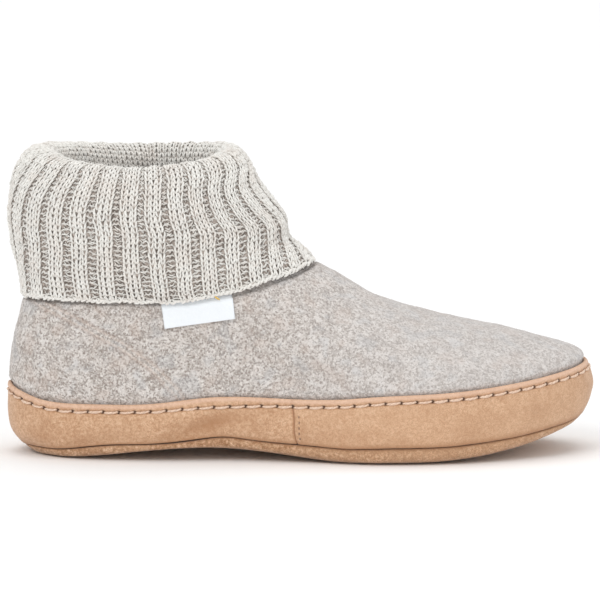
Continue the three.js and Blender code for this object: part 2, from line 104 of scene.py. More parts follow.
# Cuff rings: rise, rear, side and front
CUFF_LEVELS = [
    (0.09, 0.92, 0.55, 0.62),
    (0.28, 1.02, 0.62, 0.46),
    (0.47, 1, 0.58, -0.12),
    (0.67, 0.88, 0.42, -0.82),
    (0.85, 0.56, 0.15, -1.19),
    (0.96, 0.15, -0.15, -1.58),
    (1, -0.5, -0.48, -2.05),
    (0.95, -1.1, -0.88, -2.5),
    (0.8, -1.4, -1.1, -2.7),
    (0.55, -1.25, -0.95, -2.3),
    (0.3, -0.8, -0.65, -1.4),
    (0.1, -0.52, -0.5, -0.65),
]
# How far the ribs have turned in each row of the cuff: at the rear, side and front, in ribs
RIB_TURNS = [
    (-0.85, -0.9, -1.35),
    (-0.8, -0.65, -0.95),
    (-0.3, -0.22, -0.3),
    (-0.3, -0.1, -0.22),
    (-0.15, 0.02, -0.48),
    (0.2, 0.3, -0.4),
    (0.6, 0.4, 0.35),
    (0.6, 0.45, 0.5),
    (0.5, 0.45, 0.5),
    (0.4, 0.4, 0.4),
    (0.3, 0.3, 0.3),
    (0.15, 0.15, 0.15),
    (0, 0, 0),
    (0, 0, 0),
    (0, 0, 0),
]
CUFF_SIDE_DIP = 0.088
CUFF_LEAN = 0.032
CUFF_MID_BULGE = 0.35
CUFF_PRESS = 2
PRESS_RAMP = 0.24
EDGE_REAR = 0.773
EDGE_FRONT = 0.945
EDGE_CLIMB_START = 0.45
EDGE_CLIMB_POWER = 1.15
FELT_EMERGES = 0.3
BAND_TOP = len(WALL_LEVELS) - 1
COLLAR = BAND_TOP + len(FELT_LEVELS)
ARCH_START = 0.05
ARCH_END = 0.59
ARCH_POWER = 1.5
SPRING_START = 0.69
SPRING_POWER = 2.4
# The sole's side from its top edge down: down, and how far it lies out at the rear, side and front
SOLE_LEVELS = [
    (0, -0.6, -0.4, -0.6),
    (0.15, -0.7, 0.2, -0.5),
    (0.5, -1.5, 0.25, -1.3),
    (0.82, -2.6, -0.8, -3),
    (1, -3.8, -3.6, -5.5),
]
WAVE_AT = 0.3615
WAVE_HALF = 0.055
WAVE_RISE = 0.24
BAND_SEAM = 0.489
LABEL_START = 0.2643
CUFF_LAST = len(CUFF_LEVELS) + 2
HALVINGS = 20  # of a range in which a level or an angle is looked for

RANDOM = np.random.default_rng(11)
LATTICE = RANDOM.random((32, 32, 32)) * 2 - 1
LATTICE_START = 100.0  # the place in the lattice of the noise's origin


def mix(a, b, t):
    return a + (b - a) * t


def smooth(value):
    """0 below 0, 1 above 1, and a soft step between."""
    t = np.clip(value, 0, 1)
    return t * t * (3 - 2 * t)


def hump(distance, width):
    """A soft bump that is 1 at no distance."""
    return np.exp(-((distance / width) ** 2))


def together(*values):
    """Arrays of one shape."""
    return np.broadcast_arrays(*(np.asarray(value, float) for value in values))


def unit(vectors):
    return vectors / np.linalg.norm(vectors, axis=-1, keepdims=True)


def lengths_along(lines):
    """Length from the start of each line of points to each of its points."""
    steps = np.linalg.norm(np.diff(lines, axis=-2), axis=-1)
    return np.cumsum(np.concatenate([np.zeros((*steps.shape[:-1], 1)), steps], -1), -1)


def noise(points, size):
    """Soft noise from -1 to 1 whose features are about size millimetres across."""
    place = points / size + LATTICE_START
    cell = np.floor(place).astype(int)
    f = place - cell
    f = f * f * (3 - 2 * f)
    total = np.zeros(points.shape[:-1])
    for corner in np.ndindex(2, 2, 2):
        weight = np.ones(points.shape[:-1])
        for axis in range(3):
            weight = weight * (f[..., axis] if corner[axis] else 1 - f[..., axis])
        x, y, z = ((cell[..., axis] + corner[axis]) % len(LATTICE) for axis in range(3))
        total += weight * LATTICE[x, y, z]
    return total


def bumps(points, table):
    """Noise of several sizes and heights."""
    return sum(height * noise(points, size) for size, height in table)


def cubic(a, b, c, d, t):
    """Smooth curve through b (t = 0) and c (t = 1)."""
    return b + 0.5 * t * (c - a + t * (2 * a - 5 * b + 4 * c - d + t * (3 * (b - c) + d - a)))


def closed_curve(values, theta):
    n = len(values)
    place = (theta / TURN * n) % n
    k = np.floor(place).astype(int)
    return cubic(values[(k - 1) % n], values[k % n], values[(k + 1) % n], values[(k + 2) % n], place - k)


def curve_through(points, place):
    """A smooth curve through points, at places that count from 0 at the first."""
    points = np.asarray(points, float)
    padded = np.concatenate([[2 * points[0] - points[1]], points, [2 * points[-1] - points[-2]]])
    k = np.minimum(np.floor(place).astype(int), len(points) - 2)
    return cubic(padded[k], padded[k + 1], padded[k + 2], padded[k + 3], (place - k)[:, None])


def smooth_line(points, steps):
    return curve_through(points, np.linspace(0, len(points) - 1.0001, steps))


def round_table(outer, inner):
    """Heel, outer side, toe, inner side."""
    return np.concatenate([outer, inner[-2:0:-1]])


OUTLINE = round_table(-STATIONS[:, 0], STATIONS[:, 1])
SEAM = round_table(STATIONS[:, 2], STATIONS[:, 2])
BAND = round_table(STATIONS[:, 3], STATIONS[:, 3])
WIDEST_LATERAL = STATIONS[:, 0].max()
WIDEST_MEDIAL = STATIONS[:, 1].max()


def along(theta):
    return (1 - np.cos(theta)) / 2


def floor_height(share):
    arch = np.clip((share - ARCH_START) / (ARCH_END - ARCH_START), 0, 1)
    spring = np.clip((share - SPRING_START) / (1 - SPRING_START), 0, 1)
    return ARCH_RISE * np.sin(np.pi * arch) ** ARCH_POWER + TOE_SPRING * spring ** SPRING_POWER


def seam_height(theta, wave=1.0):
    share = along(theta)
    rise = wave * WAVE_RISE * hump(share - WAVE_AT, WAVE_HALF)
    return floor_height(share) + SOLE_EDGE * (closed_curve(SEAM, theta) + rise)


def foot_ring(theta, rear, side, front):
    across = closed_curve(OUTLINE, theta) * BALL_WIDTH
    x = mix(rear, LENGTH - front, along(theta))
    return x, across * (1 - side / (WIDEST_LATERAL * BALL_WIDTH))


def wall_point(theta, up, rear, side, front):
    x, y = foot_ring(theta, rear * SUEDE_WALL, side * SUEDE_WALL, front * SUEDE_WALL)
    return np.stack([x, y, seam_height(theta, 1 - up) + up * BAND_HEIGHT * closed_curve(BAND, theta)], -1)


def felt_point(theta, rear, front, lateral, medial, rear_z, side_z, front_z, foot):
    outer = np.sin(theta) >= 0
    half = np.where(outer, lateral, medial) * BALL_WIDTH
    outline = closed_curve(OUTLINE, theta) / np.where(outer, WIDEST_LATERAL, WIDEST_MEDIAL)
    c = np.cos(theta)
    height = side_z * (1 - c**2) + mix(rear_z, front_z, (1 - c) / 2) * c**2
    x = mix(rear, front, along(theta)) * LENGTH
    return np.stack([x, half * mix(-np.sin(theta), outline, foot), height * COLLAR_HEIGHT], -1)


class Rings:
    """A surface round the shoe, given by rows of points at equal steps of angle."""

    STEPS = 1440

    def __init__(self, row_functions):
        theta = np.arange(self.STEPS) / self.STEPS * TURN
        self.rows = np.stack([row(theta) for row in row_functions], 1)

    def at(self, theta, level):
        theta, level = together(theta, level)
        place = (theta / TURN * self.STEPS) % self.STEPS
        i = np.floor(place).astype(int) % self.STEPS
        f = (place - np.floor(place))[..., None]
        last = self.rows.shape[1] - 1
        k = np.clip(np.floor(level).astype(int), 0, last - 1)

        def row(j):
            return mix(self.rows[i, j], self.rows[(i + 1) % self.STEPS, j], f)

        b = row(k)
        c = row(k + 1)
        a = np.where((k > 0)[..., None], row(np.maximum(k - 1, 0)), 2 * b - c)
        d = np.where((k + 2 <= last)[..., None], row(np.minimum(k + 2, last)), 2 * c - b)
        return cubic(a, b, c, d, (level - k)[..., None])

    def offset(self, theta, level, out):
        """The surface's point, moved out along its normal."""
        turn, step = 0.01, 0.04
        theta, level = together(theta, level)
        low = np.maximum(level - step, 0)
        round_it = self.at(theta + turn, level) - self.at(theta - turn, level)
        up_it = self.at(theta, low + 2 * step) - self.at(theta, low)
        return self.at(theta, level) + unit(np.cross(round_it, up_it)) * np.asarray(out)[..., None]


form = Rings(
    [lambda theta, row=row: wall_point(theta, *row) for row in WALL_LEVELS]
    + [lambda theta, row=row: felt_point(theta, *row) for row in FELT_LEVELS]
)

band_across = form.rows[:, : BAND_TOP + 1, 1]
# The row frame's origin, in millimetres from the heel
CENTRE = np.array([LENGTH / 2, (band_across.min() + band_across.max()) / 2, 0])


def search(shape, low, high, before):
    """The values between low and high up to which before is true, found by halving."""
    low = np.full(shape, float(low))
    high = np.full(shape, float(high))
    for _ in range(HALVINGS):
        middle = (low + high) / 2
        here = before(middle)
        low = np.where(here, middle, low)
        high = np.where(here, high, middle)
    return low


def level_at_height(theta, out, height, start, end):
    """The level between start and end at which the surface, moved out, reaches a height."""
    return search(theta.shape, start, end, lambda level: form.offset(theta, level, out)[..., 2] < height)


EDGE_OUT = CUFF_GAP + KNIT_WALL - CUFF_PRESS
edge_angles = np.arange(72) / 72 * TURN
edge_climb = np.clip((along(edge_angles) - EDGE_CLIMB_START) / (1 - EDGE_CLIMB_START), 0, 1)
edge_heights = mix(EDGE_REAR, EDGE_FRONT, edge_climb**EDGE_CLIMB_POWER) * COLLAR_HEIGHT
EDGE_LEVELS = level_at_height(edge_angles, EDGE_OUT, edge_heights, BAND_TOP, COLLAR)


def edge_level(theta):
    """The felt's level behind the cuff's hanging edge."""
    return closed_curve(EDGE_LEVELS, np.asarray(theta, float))


def over_felt(theta, level, out):
    """A point over the felt, which runs behind the band and is pressed in under the cuff's edge."""
    behind = (SUEDE_WALL + SEAM_GAP) * (1 - np.clip((level - BAND_TOP) / FELT_EMERGES, 0, 1))
    pressed = CUFF_PRESS * smooth((level - edge_level(theta)) / PRESS_RAMP + 1)
    return form.offset(theta, level, out - behind - pressed)


LAST_FELT = FELT_LEVELS[-1]


def cuff_ring(theta, rise, rear, side, front):
    base = felt_point(theta, *LAST_FELT)[..., 2]
    rear_x = LAST_FELT[0] * LENGTH - rear * CUFF_FLARE
    front_x = LAST_FELT[1] * LENGTH + front * CUFF_FLARE
    half = LAST_FELT[2] * BALL_WIDTH + side * CUFF_FLARE
    across = np.sin(theta)
    up = rise * CUFF_RISE * (1 - CUFF_SIDE_DIP * across**2 - CUFF_LEAN * across)
    z = mix(base, COLLAR_HEIGHT, rise) + up
    return np.stack([mix(rear_x, front_x, along(theta)), -half * across, z], -1)


def cuff_low(theta, k):
    """The hanging edge (k = 0) and the row over it (k = 1)."""
    level = mix(edge_level(theta), COLLAR, k * 0.5)
    return form.offset(theta, level, EDGE_OUT + k * CUFF_MID_BULGE * CUFF_FLARE)


def cuff_sewn(theta):
    """The inner layer's end, sewn to the felt's top edge."""
    inside = over_felt(theta, COLLAR, -FELT_WALL)
    outside = over_felt(theta, COLLAR, 0)
    inside[..., 2] = np.maximum(inside[..., 2], outside[..., 2]) + 2.5 * SEAM_GAP
    return inside


cuff_form = Rings(
    [lambda theta, k=k: cuff_low(theta, k) for k in (0, 1)]
    + [lambda theta, row=row: cuff_ring(theta, *row) for row in CUFF_LEVELS]
    + [cuff_sewn]
)
RING_ANGLES = np.linspace(0, TURN, Rings.STEPS + 1)


def ring_girth(ring):
    return lengths_along(np.concatenate([ring, ring[:1]]))


def girth_angle(ring, share):
    """Angle at a share of a ring's girth, from the heel over the outer side."""
    girth = ring_girth(ring)
    turns = np.floor(share)
    return turns * TURN + np.interp((share - turns) * girth[-1], girth, RING_ANGLES)


def girth_share(ring, theta):
    """The share of a ring's girth that lies before an angle."""
    girth = ring_girth(ring)
    turns = np.floor(theta / TURN)
    return turns + np.interp(theta - turns * TURN, RING_ANGLES, girth) / girth[-1]


def rib_angle(rib, level):
    """Angles at which ribs, counted from the heel, lie at a level of the cuff."""
    c = np.cos(rib / RIB_COUNT * TURN)
    rows = []
    for k, (rear, side, front) in enumerate(RIB_TURNS):
        turn = side * (1 - c**2) + mix(rear, front, (1 - c) / 2) * c**2
        rows.append(girth_angle(cuff_form.rows[:, k], (rib + turn) / RIB_COUNT))
    rows = np.stack([rows[0], *rows, rows[-1]])
    k = min(int(level), CUFF_LAST - 1)
    return cubic(*rows[k : k + 4], level - k)


class Patch:
    """A surface sampled on a grid. u counts columns and v counts rows."""

    def __init__(self, points, closed):
        self.points = points
        self.closed = closed
        if closed:
            along_u = np.roll(points, -1, 0) - np.roll(points, 1, 0)
        else:
            along_u = np.gradient(points, axis=0)
        self.normals = unit(np.cross(along_u, np.gradient(points, axis=1)))

    def sample(self, grid, u, v):
        columns, rows = grid.shape[:2]
        if not self.closed:
            u = np.clip(u, 0, columns - 1.0001)
        v = np.clip(v, 0, rows - 1.0001)
        i = np.floor(u).astype(int)
        j = np.floor(v).astype(int)
        f = (u - i)[..., None]
        here = i % columns
        after = (i + 1) % columns
        low = mix(grid[here, j], grid[after, j], f)
        high = mix(grid[here, j + 1], grid[after, j + 1], f)
        return mix(low, high, (v - j)[..., None])

    def at(self, u, v, out=0.0):
        u, v, out = together(u, v, out)
        return self.sample(self.points, u, v) + self.sample(self.normals, u, v) * out[..., None]

    def normal(self, u, v):
        return self.sample(self.normals, *together(u, v))


# Meshes
def make_piece(name, points, faces, material, node=None, values=None, smoothed=True):
    """A mesh from points in millimetres and faces, which is a list of arrays of equal corners. node names the
    CAD solid that it replaces, and values are named numbers for its points."""
    flat = (np.asarray(points, float).reshape(-1, 3) - CENTRE) * MM
    mesh = bpy.data.meshes.new(name)
    mesh.vertices.add(len(flat))
    mesh.vertices.foreach_set("co", flat.astype(np.float32).ravel())
    loops = np.concatenate([f.ravel() for f in faces]).astype(np.int32)
    sizes = np.concatenate([np.full(len(f), f.shape[1]) for f in faces]).astype(np.int32)
    mesh.loops.add(len(loops))
    mesh.loops.foreach_set("vertex_index", loops)
    mesh.polygons.add(len(sizes))
    mesh.polygons.foreach_set("loop_start", (np.cumsum(sizes) - sizes).astype(np.int32))
    mesh.polygons.foreach_set("loop_total", sizes)
    mesh.polygons.foreach_set("use_smooth", np.full(len(sizes), smoothed))
    mesh.update(calc_edges=True)
    for key, value in (values or {}).items():
        attribute = mesh.attributes.new(key, "FLOAT", "POINT")
        attribute.data.foreach_set("value", np.asarray(value, np.float32).ravel())
    mesh.materials.append(material)
    piece = bpy.data.objects.new(name, mesh)
    bpy.context.scene.collection.objects.link(piece)
    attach(piece, "root")
    if node:
        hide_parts(node)
    return piece


def grid_faces(columns, rows, closed, start=0, loop=False):
    """Quads of a grid whose points are numbered column by column. closed joins the last column to the first,
    and loop the last row to the first."""
    i = np.arange(columns if closed else columns - 1)
    j = np.arange(rows if loop else rows - 1)
    i, j = (a.ravel() for a in np.meshgrid(i, j, indexing="ij"))
    after = (i + 1) % columns
    above = (j + 1) % rows
    return start + np.stack([i * rows + j, after * rows + j, after * rows + above, i * rows + above], 1)


def tubes(lines, radii, normals, sides):
    """Round strands along many lines at once. lines and normals are (strands, steps, 3)."""
    count, steps = lines.shape[:2]
    tangent = unit(np.gradient(lines, axis=1))
    side = unit(np.cross(tangent, normals))
    up = np.cross(side, tangent)
    turn = (np.arange(sides) / sides * TURN)[:, None]
    ring = np.cos(turn) * side[:, :, None] + np.sin(turn) * up[:, :, None]
    points = lines[:, :, None] + ring * radii[:, :, None, None]
    k, j, i = np.meshgrid(np.arange(count), np.arange(steps - 1), np.arange(sides), indexing="ij")
    base = k * steps * sides + j * sides
    after = (i + 1) % sides
    quads = np.stack([base + i, base + sides + i, base + sides + after, base + after], -1)
    return points.reshape(-1, 3), quads.reshape(-1, 4)


def random_tangents(normals):
    """A random direction along the surface for each normal."""
    return unit(np.cross(normals, RANDOM.normal(0, 1, normals.shape)))


def fibres(roots, directions, normals, lengths, width, curl):
    """Fine curved hairs: ribbons of three steps that end in a point."""
    count = len(roots)
    directions = unit(directions)
    side = unit(np.cross(directions, normals))
    bend = RANDOM.normal(0, curl, (count, 1)) * side + RANDOM.normal(0, curl * 0.6, (count, 1)) * normals
    points = []
    for step, share in ((0, 1.0), (0.38, 0.8), (0.72, 0.55)):
        middle = roots + (directions * step + bend * step**2) * lengths[:, None]
        points += [middle - side * width * share / 2, middle + side * width * share / 2]
    points.append(roots + (directions + bend) * lengths[:, None])
    start = np.arange(count)[:, None] * len(points)
    quads = np.concatenate([start + np.array([0, 1, 3, 2]), start + np.array([2, 3, 5, 4])])
    return np.stack(points, 1), [quads, start + np.array([4, 5, 6])]


# Materials
def seen(red, green, blue):
    """The linear colour of one given as the eye sees it, from 0 to 255."""
    shares = (value / 255 for value in (red, green, blue))
    return (*(v / 12.92 if v <= 0.04045 else ((v + 0.055) / 1.055) ** 2.4 for v in shares), 1.0)


class Shader:
    """A node material that is built up line by line. A tuple in it is a colour as the eye sees it."""

    def __init__(self, name, roughness, sheen=0.0, sheen_roughness=0.5, specular=0.3):
        self.material = bpy.data.materials.new(name)
        self.material.use_nodes = True
        self.tree = self.material.node_tree
        self.surface = self.tree.nodes["Principled BSDF"]
        self.surface.inputs["Roughness"].default_value = roughness
        self.surface.inputs["Specular IOR Level"].default_value = specular
        self.surface.inputs["Sheen Weight"].default_value = sheen
        self.surface.inputs["Sheen Roughness"].default_value = sheen_roughness
        self.place = self.tree.nodes.new("ShaderNodeTexCoord").outputs["Object"]

    def link(self, value, socket):
        if isinstance(value, bpy.types.NodeSocket):
            self.tree.links.new(value, socket)
        else:
            socket.default_value = seen(*value) if isinstance(value, tuple) else value

    def node(self, kind, **inputs):
        node = self.tree.nodes.new("ShaderNode" + kind)
        for name, value in inputs.items():
            self.link(value, node.inputs[name])
        return node

    def noise(self, millimetres, detail=2.0, roughness=0.5, stretch=None):
        place = self.place
        if stretch:
            place = self.node("Mapping", Vector=place, Scale=stretch).outputs["Vector"]
        scale = 1 / (millimetres * MM)
        node = self.node("TexNoise", Vector=place, Scale=scale, Detail=detail, Roughness=roughness)
        return node.outputs["Fac"]

    def attribute(self, name):
        node = self.node("Attribute")
        node.attribute_name = name
        return node.outputs["Fac"]

    def axis(self, letter):
        """Place along an axis, in metres from the slipper's middle."""
        return self.node("SeparateXYZ", Vector=self.place).outputs[letter]

    def span(self, value, low, high, to_low=0.0, to_high=1.0):
        """A soft step where the value passes from low to high."""
        node = self.node("MapRange")
        node.interpolation_type = "SMOOTHSTEP"
        for socket, number in zip(node.inputs, (value, low, high, to_low, to_high)):
            self.link(number, socket)
        return node.outputs[0]

    def times(self, a, b):
        node = self.node("Math")
        node.operation = "MULTIPLY"
        self.link(a, node.inputs[0])
        self.link(b, node.inputs[1])
        return node.outputs[0]

    def blend(self, amount, a, b):
        """Mixes two colours."""
        node = self.node("Mix")
        node.data_type = "RGBA"
        self.link(amount, node.inputs["Factor"])
        self.link(a, node.inputs[6])
        self.link(b, node.inputs[7])
        return node.outputs[2]

    def tint(self, colour, *layers):
        """Mixes colours in, one after another. A layer is a value, the low and high end of the range in which
        it lets the colour in, how much of it comes in, and the colour."""
        for value, low, high, amount, tint in layers:
            colour = self.blend(self.times(self.span(value, low, high), amount), colour, tint)
        return colour

    def finish(self, colour, *bumps):
        """The material. Each bump is a height, its size in millimetres and its strength, one over another."""
        self.link(colour, self.surface.inputs["Base Color"])
        normal = None
        for height, millimetres, strength in bumps:
            node = self.node("Bump", Height=height, Distance=millimetres * MM, Strength=strength)
            if normal:
                self.link(normal, node.inputs["Normal"])
            normal = node.outputs["Normal"]
        if normal:
            self.link(normal, self.surface.inputs["Normal"])
        return self.material


def felt_material(name, inside_shade=0.0):
    s = Shader(name, roughness=1.0, sheen=0.2, sheen_roughness=0.6, specular=0.1)
    hair = s.noise(0.9, detail=2, roughness=0.7)
    speck = s.noise(1.1, detail=2, roughness=0.7)
    grain = s.noise(2.2, detail=3, roughness=0.65)
    clump = s.noise(5.5, detail=3, roughness=0.65)
    patch = s.noise(10, detail=2)
    heel = s.span(s.axis("X"), 0.08, -0.05, 0.7, 0.85)
    colour = s.blend(s.span(grain, 0.38, 0.62), (176, 167, 160), (207, 200, 195))
    colour = s.tint(
        colour,
        (clump, 0.5, 0.37, 0.42, (146, 137, 132)),
        (clump, 0.52, 0.65, 0.42, (222, 218, 215)),
        (hair, 0.5, 0.62, heel, (226, 221, 216)),
        (speck, 0.5, 0.38, heel, (142, 132, 125)),
        (patch, 0.54, 0.68, 0.22, (190, 168, 154)),  # brownish
        (patch, 0.46, 0.34, 0.25, (182, 186, 190)),  # bluish
        (s.axis("X"), -0.06, 0.09, 0.3, (203, 200, 199)),  # plainer and lighter at the toe: partly the felt's own tone, partly painted light on the upward-facing vamp
    )
    # painted shade: the felt inside the slipper is blended towards a dark brown-grey
    if inside_shade:
        colour = s.blend(inside_shade, colour, (120, 108, 100))
    # painted highlight on the heel seam's raised lines, and painted shade in the grooves beside them, deepest
    # at the stitches
    colour = s.blend(s.times(s.attribute("seam"), 0.45), colour, (218, 198, 184))
    colour = s.blend(s.times(s.attribute("seam_groove_shade"), 0.55), colour, (136, 110, 96))
    return s.finish(colour, (grain, 0.5, 0.6), (speck, 0.3, 0.7), (hair, 0.3, 0.6))


# The fourth colour is for painted shade in troughs, along seams and under edges; it also darkens the grain
# and the blotches.
def suede_material(name, light, dark, trough_shade, grainy):
    s = Shader(name, roughness=0.95, sheen=0.2, sheen_roughness=0.5, specular=0.15)
    nap = s.noise(0.6, detail=4, roughness=0.75)
    grain = s.noise(1.5, detail=3, roughness=0.7)
    blotch = s.noise(7, detail=3, roughness=0.6)
    wide = s.noise(38, detail=1)
    worn = s.span(s.axis("X"), 0.07, -0.05, 0.3 * grainy, 0.6 * grainy)
    colour = s.blend(s.span(nap, 0.36, 0.64), dark, light)
    colour = s.tint(
        colour,
        (grain, 0.5, 0.36, worn, trough_shade),
        (grain, 0.52, 0.66, worn, (228, 196, 166)),
        (blotch, 0.4, 0.68, 0.3, trough_shade),
        (wide, 0.4, 0.65, 0.15, (220, 184, 152)),
    )
    # painted shade in the troughs, along the seams and on edges tucked under
    colour = s.blend(s.attribute("trough_shade"), colour, trough_shade)
    # painted highlight along the band's rolled top edge
    colour = s.blend(s.times(s.attribute("rim"), 0.5), colour, (232, 198, 178))
    # painted shade in the cord's stitch holes
    colour = s.blend(s.attribute("hole"), colour, (70, 46, 34))
    return s.finish(colour, (blotch, 0.25, 0.5), (grain, 0.2, 0.5), (nap, 0.2, 0.8))


def yarn_material(name):
    s = Shader(name, roughness=1.0, sheen=0.3, sheen_roughness=0.6, specular=0.1)
    fibre = s.noise(0.35, detail=3, roughness=0.7)
    fleck = s.noise(1.6, detail=3, roughness=0.65)
    patch = s.noise(11, detail=2)
    colour = s.blend(s.span(fibre, 0.3, 0.7), (226, 224, 219), (249, 248, 243))
    colour = s.tint(colour, (fleck, 0.53, 0.7, 0.5, (206, 196, 188)))
    colour = s.tint(colour, (patch, 0.45, 0.7, 0.25, (226, 214, 204)))
    # painted shade: yarn deep in the knit turns to a darker, browner shadow colour
    shadow = s.blend(s.span(fleck, 0.4, 0.6), (132, 122, 114), (196, 184, 175))
    return s.finish(s.blend(s.attribute("deep"), colour, shadow), (fibre, 0.2, 0.6))


def cord_material(name):
    s = Shader(name, roughness=0.8, sheen=0.1, specular=0.25)
    fibre = s.noise(0.4, detail=3, roughness=0.6)
    colour = s.blend(s.span(fibre, 0.3, 0.7), (212, 178, 154), (242, 219, 198))
    # painted shade where the cord dives into the leather and between its plies
    return s.finish(s.blend(s.attribute("deep"), colour, (100, 66, 47)), (fibre, 0.15, 0.6))


def satin_material(name):
    s = Shader(name, roughness=0.45, sheen=0.1, specular=0.4)
    weave = s.noise(0.5, detail=2, stretch=[1.0, 1.0, 4.0])
    colour = s.blend(s.span(weave, 0.3, 0.7), (229, 234, 238), (239, 243, 247))
    return s.finish(colour, (weave, 0.05, 0.4))


def plain_material(name, colour, roughness):
    return Shader(name, roughness=roughness, specular=0.2).finish(colour)


FELT = felt_material("felt")
# the lining and the insole are shaded copies of the felt, with painted shade inside the slipper
FELT_INSIDE = felt_material("felt_inside", inside_shade=0.25)
INSOLE_FELT = felt_material("insole_felt", inside_shade=0.15)
FELT_HAIR = plain_material("felt_fuzz", (206, 200, 196), 1.0)
SUEDE = suede_material("band_suede", (219, 181, 149), (188, 149, 117), (174, 130, 96), 1.0)
SOLE_SUEDE = suede_material("sole_suede", (207, 168, 135), (166, 127, 95), (148, 107, 75), 1.5)
YARN = yarn_material("yarn")
YARN_HAIR = plain_material("yarn_fuzz", (236, 233, 228), 1.0)
CORD = cord_material("cord")
SATIN = satin_material("satin")
THREAD = plain_material("thread", (226, 184, 84), 0.8)


# The felt upper
FELT_COLUMNS = 720
FELT_ROWS = 100
LINING_COLUMNS = 180
LINING_ROWS = 40
FELT_HAIRS = 15000
FELT_HAIR_ROWS = (9, 90)  # from just over the band to the cuff's hanging edge
SHOWN_ROWS = 0.88  # share of the felt's rows that lie below the cuff or just over its hanging edge
SHOWN_OVER = 0.35  # how many levels over that edge they end
# The middle of the heel seam's two raised lines: x from the heel and height, on the outer side
HEEL_SEAM = [
    (12, 72), (17.4, 69.5), (29.2, 64.4), (34.7, 61.7), (43.1, 57.3), (51.5, 52.8),
    (58, 48.7), (64.5, 44.4), (70.6, 39.6), (77.2, 32.3), (80, 27),
]
HEEL_SEAM_WIDTH = 2.6
HEEL_SEAM_STITCH = 2.9
# The felt's bumps: their size and height
FELT_BUMPS = [(3.2, 0.22), (7, 0.2), (21, 0.3)]


def felt_patch(columns, rows, low, out):
    """The felt's levels and points, in columns of equal girth, from a level behind the band to the collar."""
    theta = girth_angle(form.rows[:, BAND_TOP + 1], np.arange(columns) / columns)[:, None]
    share = np.linspace(0, 1, rows)
    shown = edge_level(theta) + SHOWN_OVER
    outer = mix(low, shown, share / SHOWN_ROWS)
    covered = mix(shown, COLLAR, (share - SHOWN_ROWS) / (1 - SHOWN_ROWS))
    levels = np.where(share < SHOWN_ROWS, outer, covered)
    return levels, over_felt(theta, levels, out)


def polyline_distance(points, line):
    """Distance of points from a line of points, and how far along it the nearest place is."""
    best = np.full(points.shape[:-1], np.inf)
    run = np.zeros(points.shape[:-1])
    start = 0.0
    for a, b in zip(line[:-1], line[1:]):
        length = np.linalg.norm(b - a)
        t = np.clip(((points - a) @ (b - a)) / length**2, 0, 1)
        distance = np.linalg.norm(points - (a + t[..., None] * (b - a)), axis=-1)
        run = np.where(distance < best, start + t * length, run)
        best = np.minimum(distance, best)
        start += length
    return best, run


def heel_seam_line(points, side):
    """The middle of the heel seam over the felt's points, on one side of the shoe."""
    flat = points.reshape(-1, 3)
    flat = flat[flat[:, 1] * side > 0]
    wanted = smooth_line(HEEL_SEAM, 40)
    nearest = [flat[np.argmin(np.hypot(flat[:, 0] - x, flat[:, 2] - z))] for x, z in wanted]
    return smooth_line(nearest[::3], 60)


def heel_seam(points):
    """How far the heel seam stands out, and for each place how much painted highlight it gets as raised line
    and how much painted shade as groove beside it.
    """
    out, raised, gap = np.zeros((3, *points.shape[:2]))
    for side in (-1, 1):
        distance, run = polyline_distance(points, heel_seam_line(points, side))
        beside = distance - HEEL_SEAM_WIDTH / 2
        stitch = smooth(np.cos(run / HEEL_SEAM_STITCH * TURN))
        ridge = hump(beside, 0.5)
        raised = np.maximum(raised, ridge * (1 - 0.6 * stitch))
        gap = np.maximum(gap, hump(beside - 0.9, 0.45) * (0.35 + 0.65 * stitch))
        out += 0.3 * ridge - 0.25 * hump(distance, 0.7) - 0.3 * hump(beside - 1.1, 0.7)
    return out, raised, gap


felt_levels, felt_points = felt_patch(FELT_COLUMNS, FELT_ROWS, BAND_TOP - 0.6, 0)
felt_surface = Patch(felt_points, closed=True)
seam_out, seam_ridge_highlight, seam_groove_shade = heel_seam(felt_points)
felt_out = (bumps(felt_points, FELT_BUMPS) + seam_out) * smooth((felt_levels - BAND_TOP) / 0.35)


def felt_upper():
    face = felt_points + felt_surface.normals * felt_out[..., None]
    faces = [grid_faces(FELT_COLUMNS, FELT_ROWS, True)]
    make_piece("felt_upper", face, faces, FELT, "upper", {"seam": seam_ridge_highlight, "seam_groove_shade": seam_groove_shade})


def felt_lining():
    """The felt's inner face and top edge."""
    points = felt_patch(LINING_COLUMNS, LINING_ROWS, 0.2, -FELT_WALL)[1]
    rim = np.concatenate([points, felt_points[:: FELT_COLUMNS // LINING_COLUMNS, -1:]], 1)[:, ::-1]
    faces = [grid_faces(LINING_COLUMNS, LINING_ROWS + 1, True)]
    make_piece("felt_lining", rim, faces, FELT_INSIDE, "upper")


def felt_fuzz():
    u = RANDOM.random(FELT_HAIRS) * FELT_COLUMNS
    v = mix(*FELT_HAIR_ROWS, RANDOM.random(FELT_HAIRS))
    roots = felt_surface.at(u, v, felt_out[u.astype(int), v.astype(int)] - 0.05)
    normals = felt_surface.normal(u, v)
    directions = random_tangents(normals) + normals * RANDOM.uniform(0.1, 0.9, (FELT_HAIRS, 1))
    lengths = RANDOM.uniform(0.6, 1.7, FELT_HAIRS)
    points, faces = fibres(roots, directions, normals, lengths, 0.07, 0.45)
    make_piece("felt_fuzz", points, faces, FELT_HAIR, smoothed=False)


felt_upper()
felt_lining()
felt_fuzz()

# The suede band: a heel piece and a toe piece, joined at both sides of the waist
SEAM_ANGLE = np.arccos(1 - 2 * BAND_SEAM)
BAND_EDGE = 6.0  # millimetres below the top edge that keep their size where the band is higher or lower
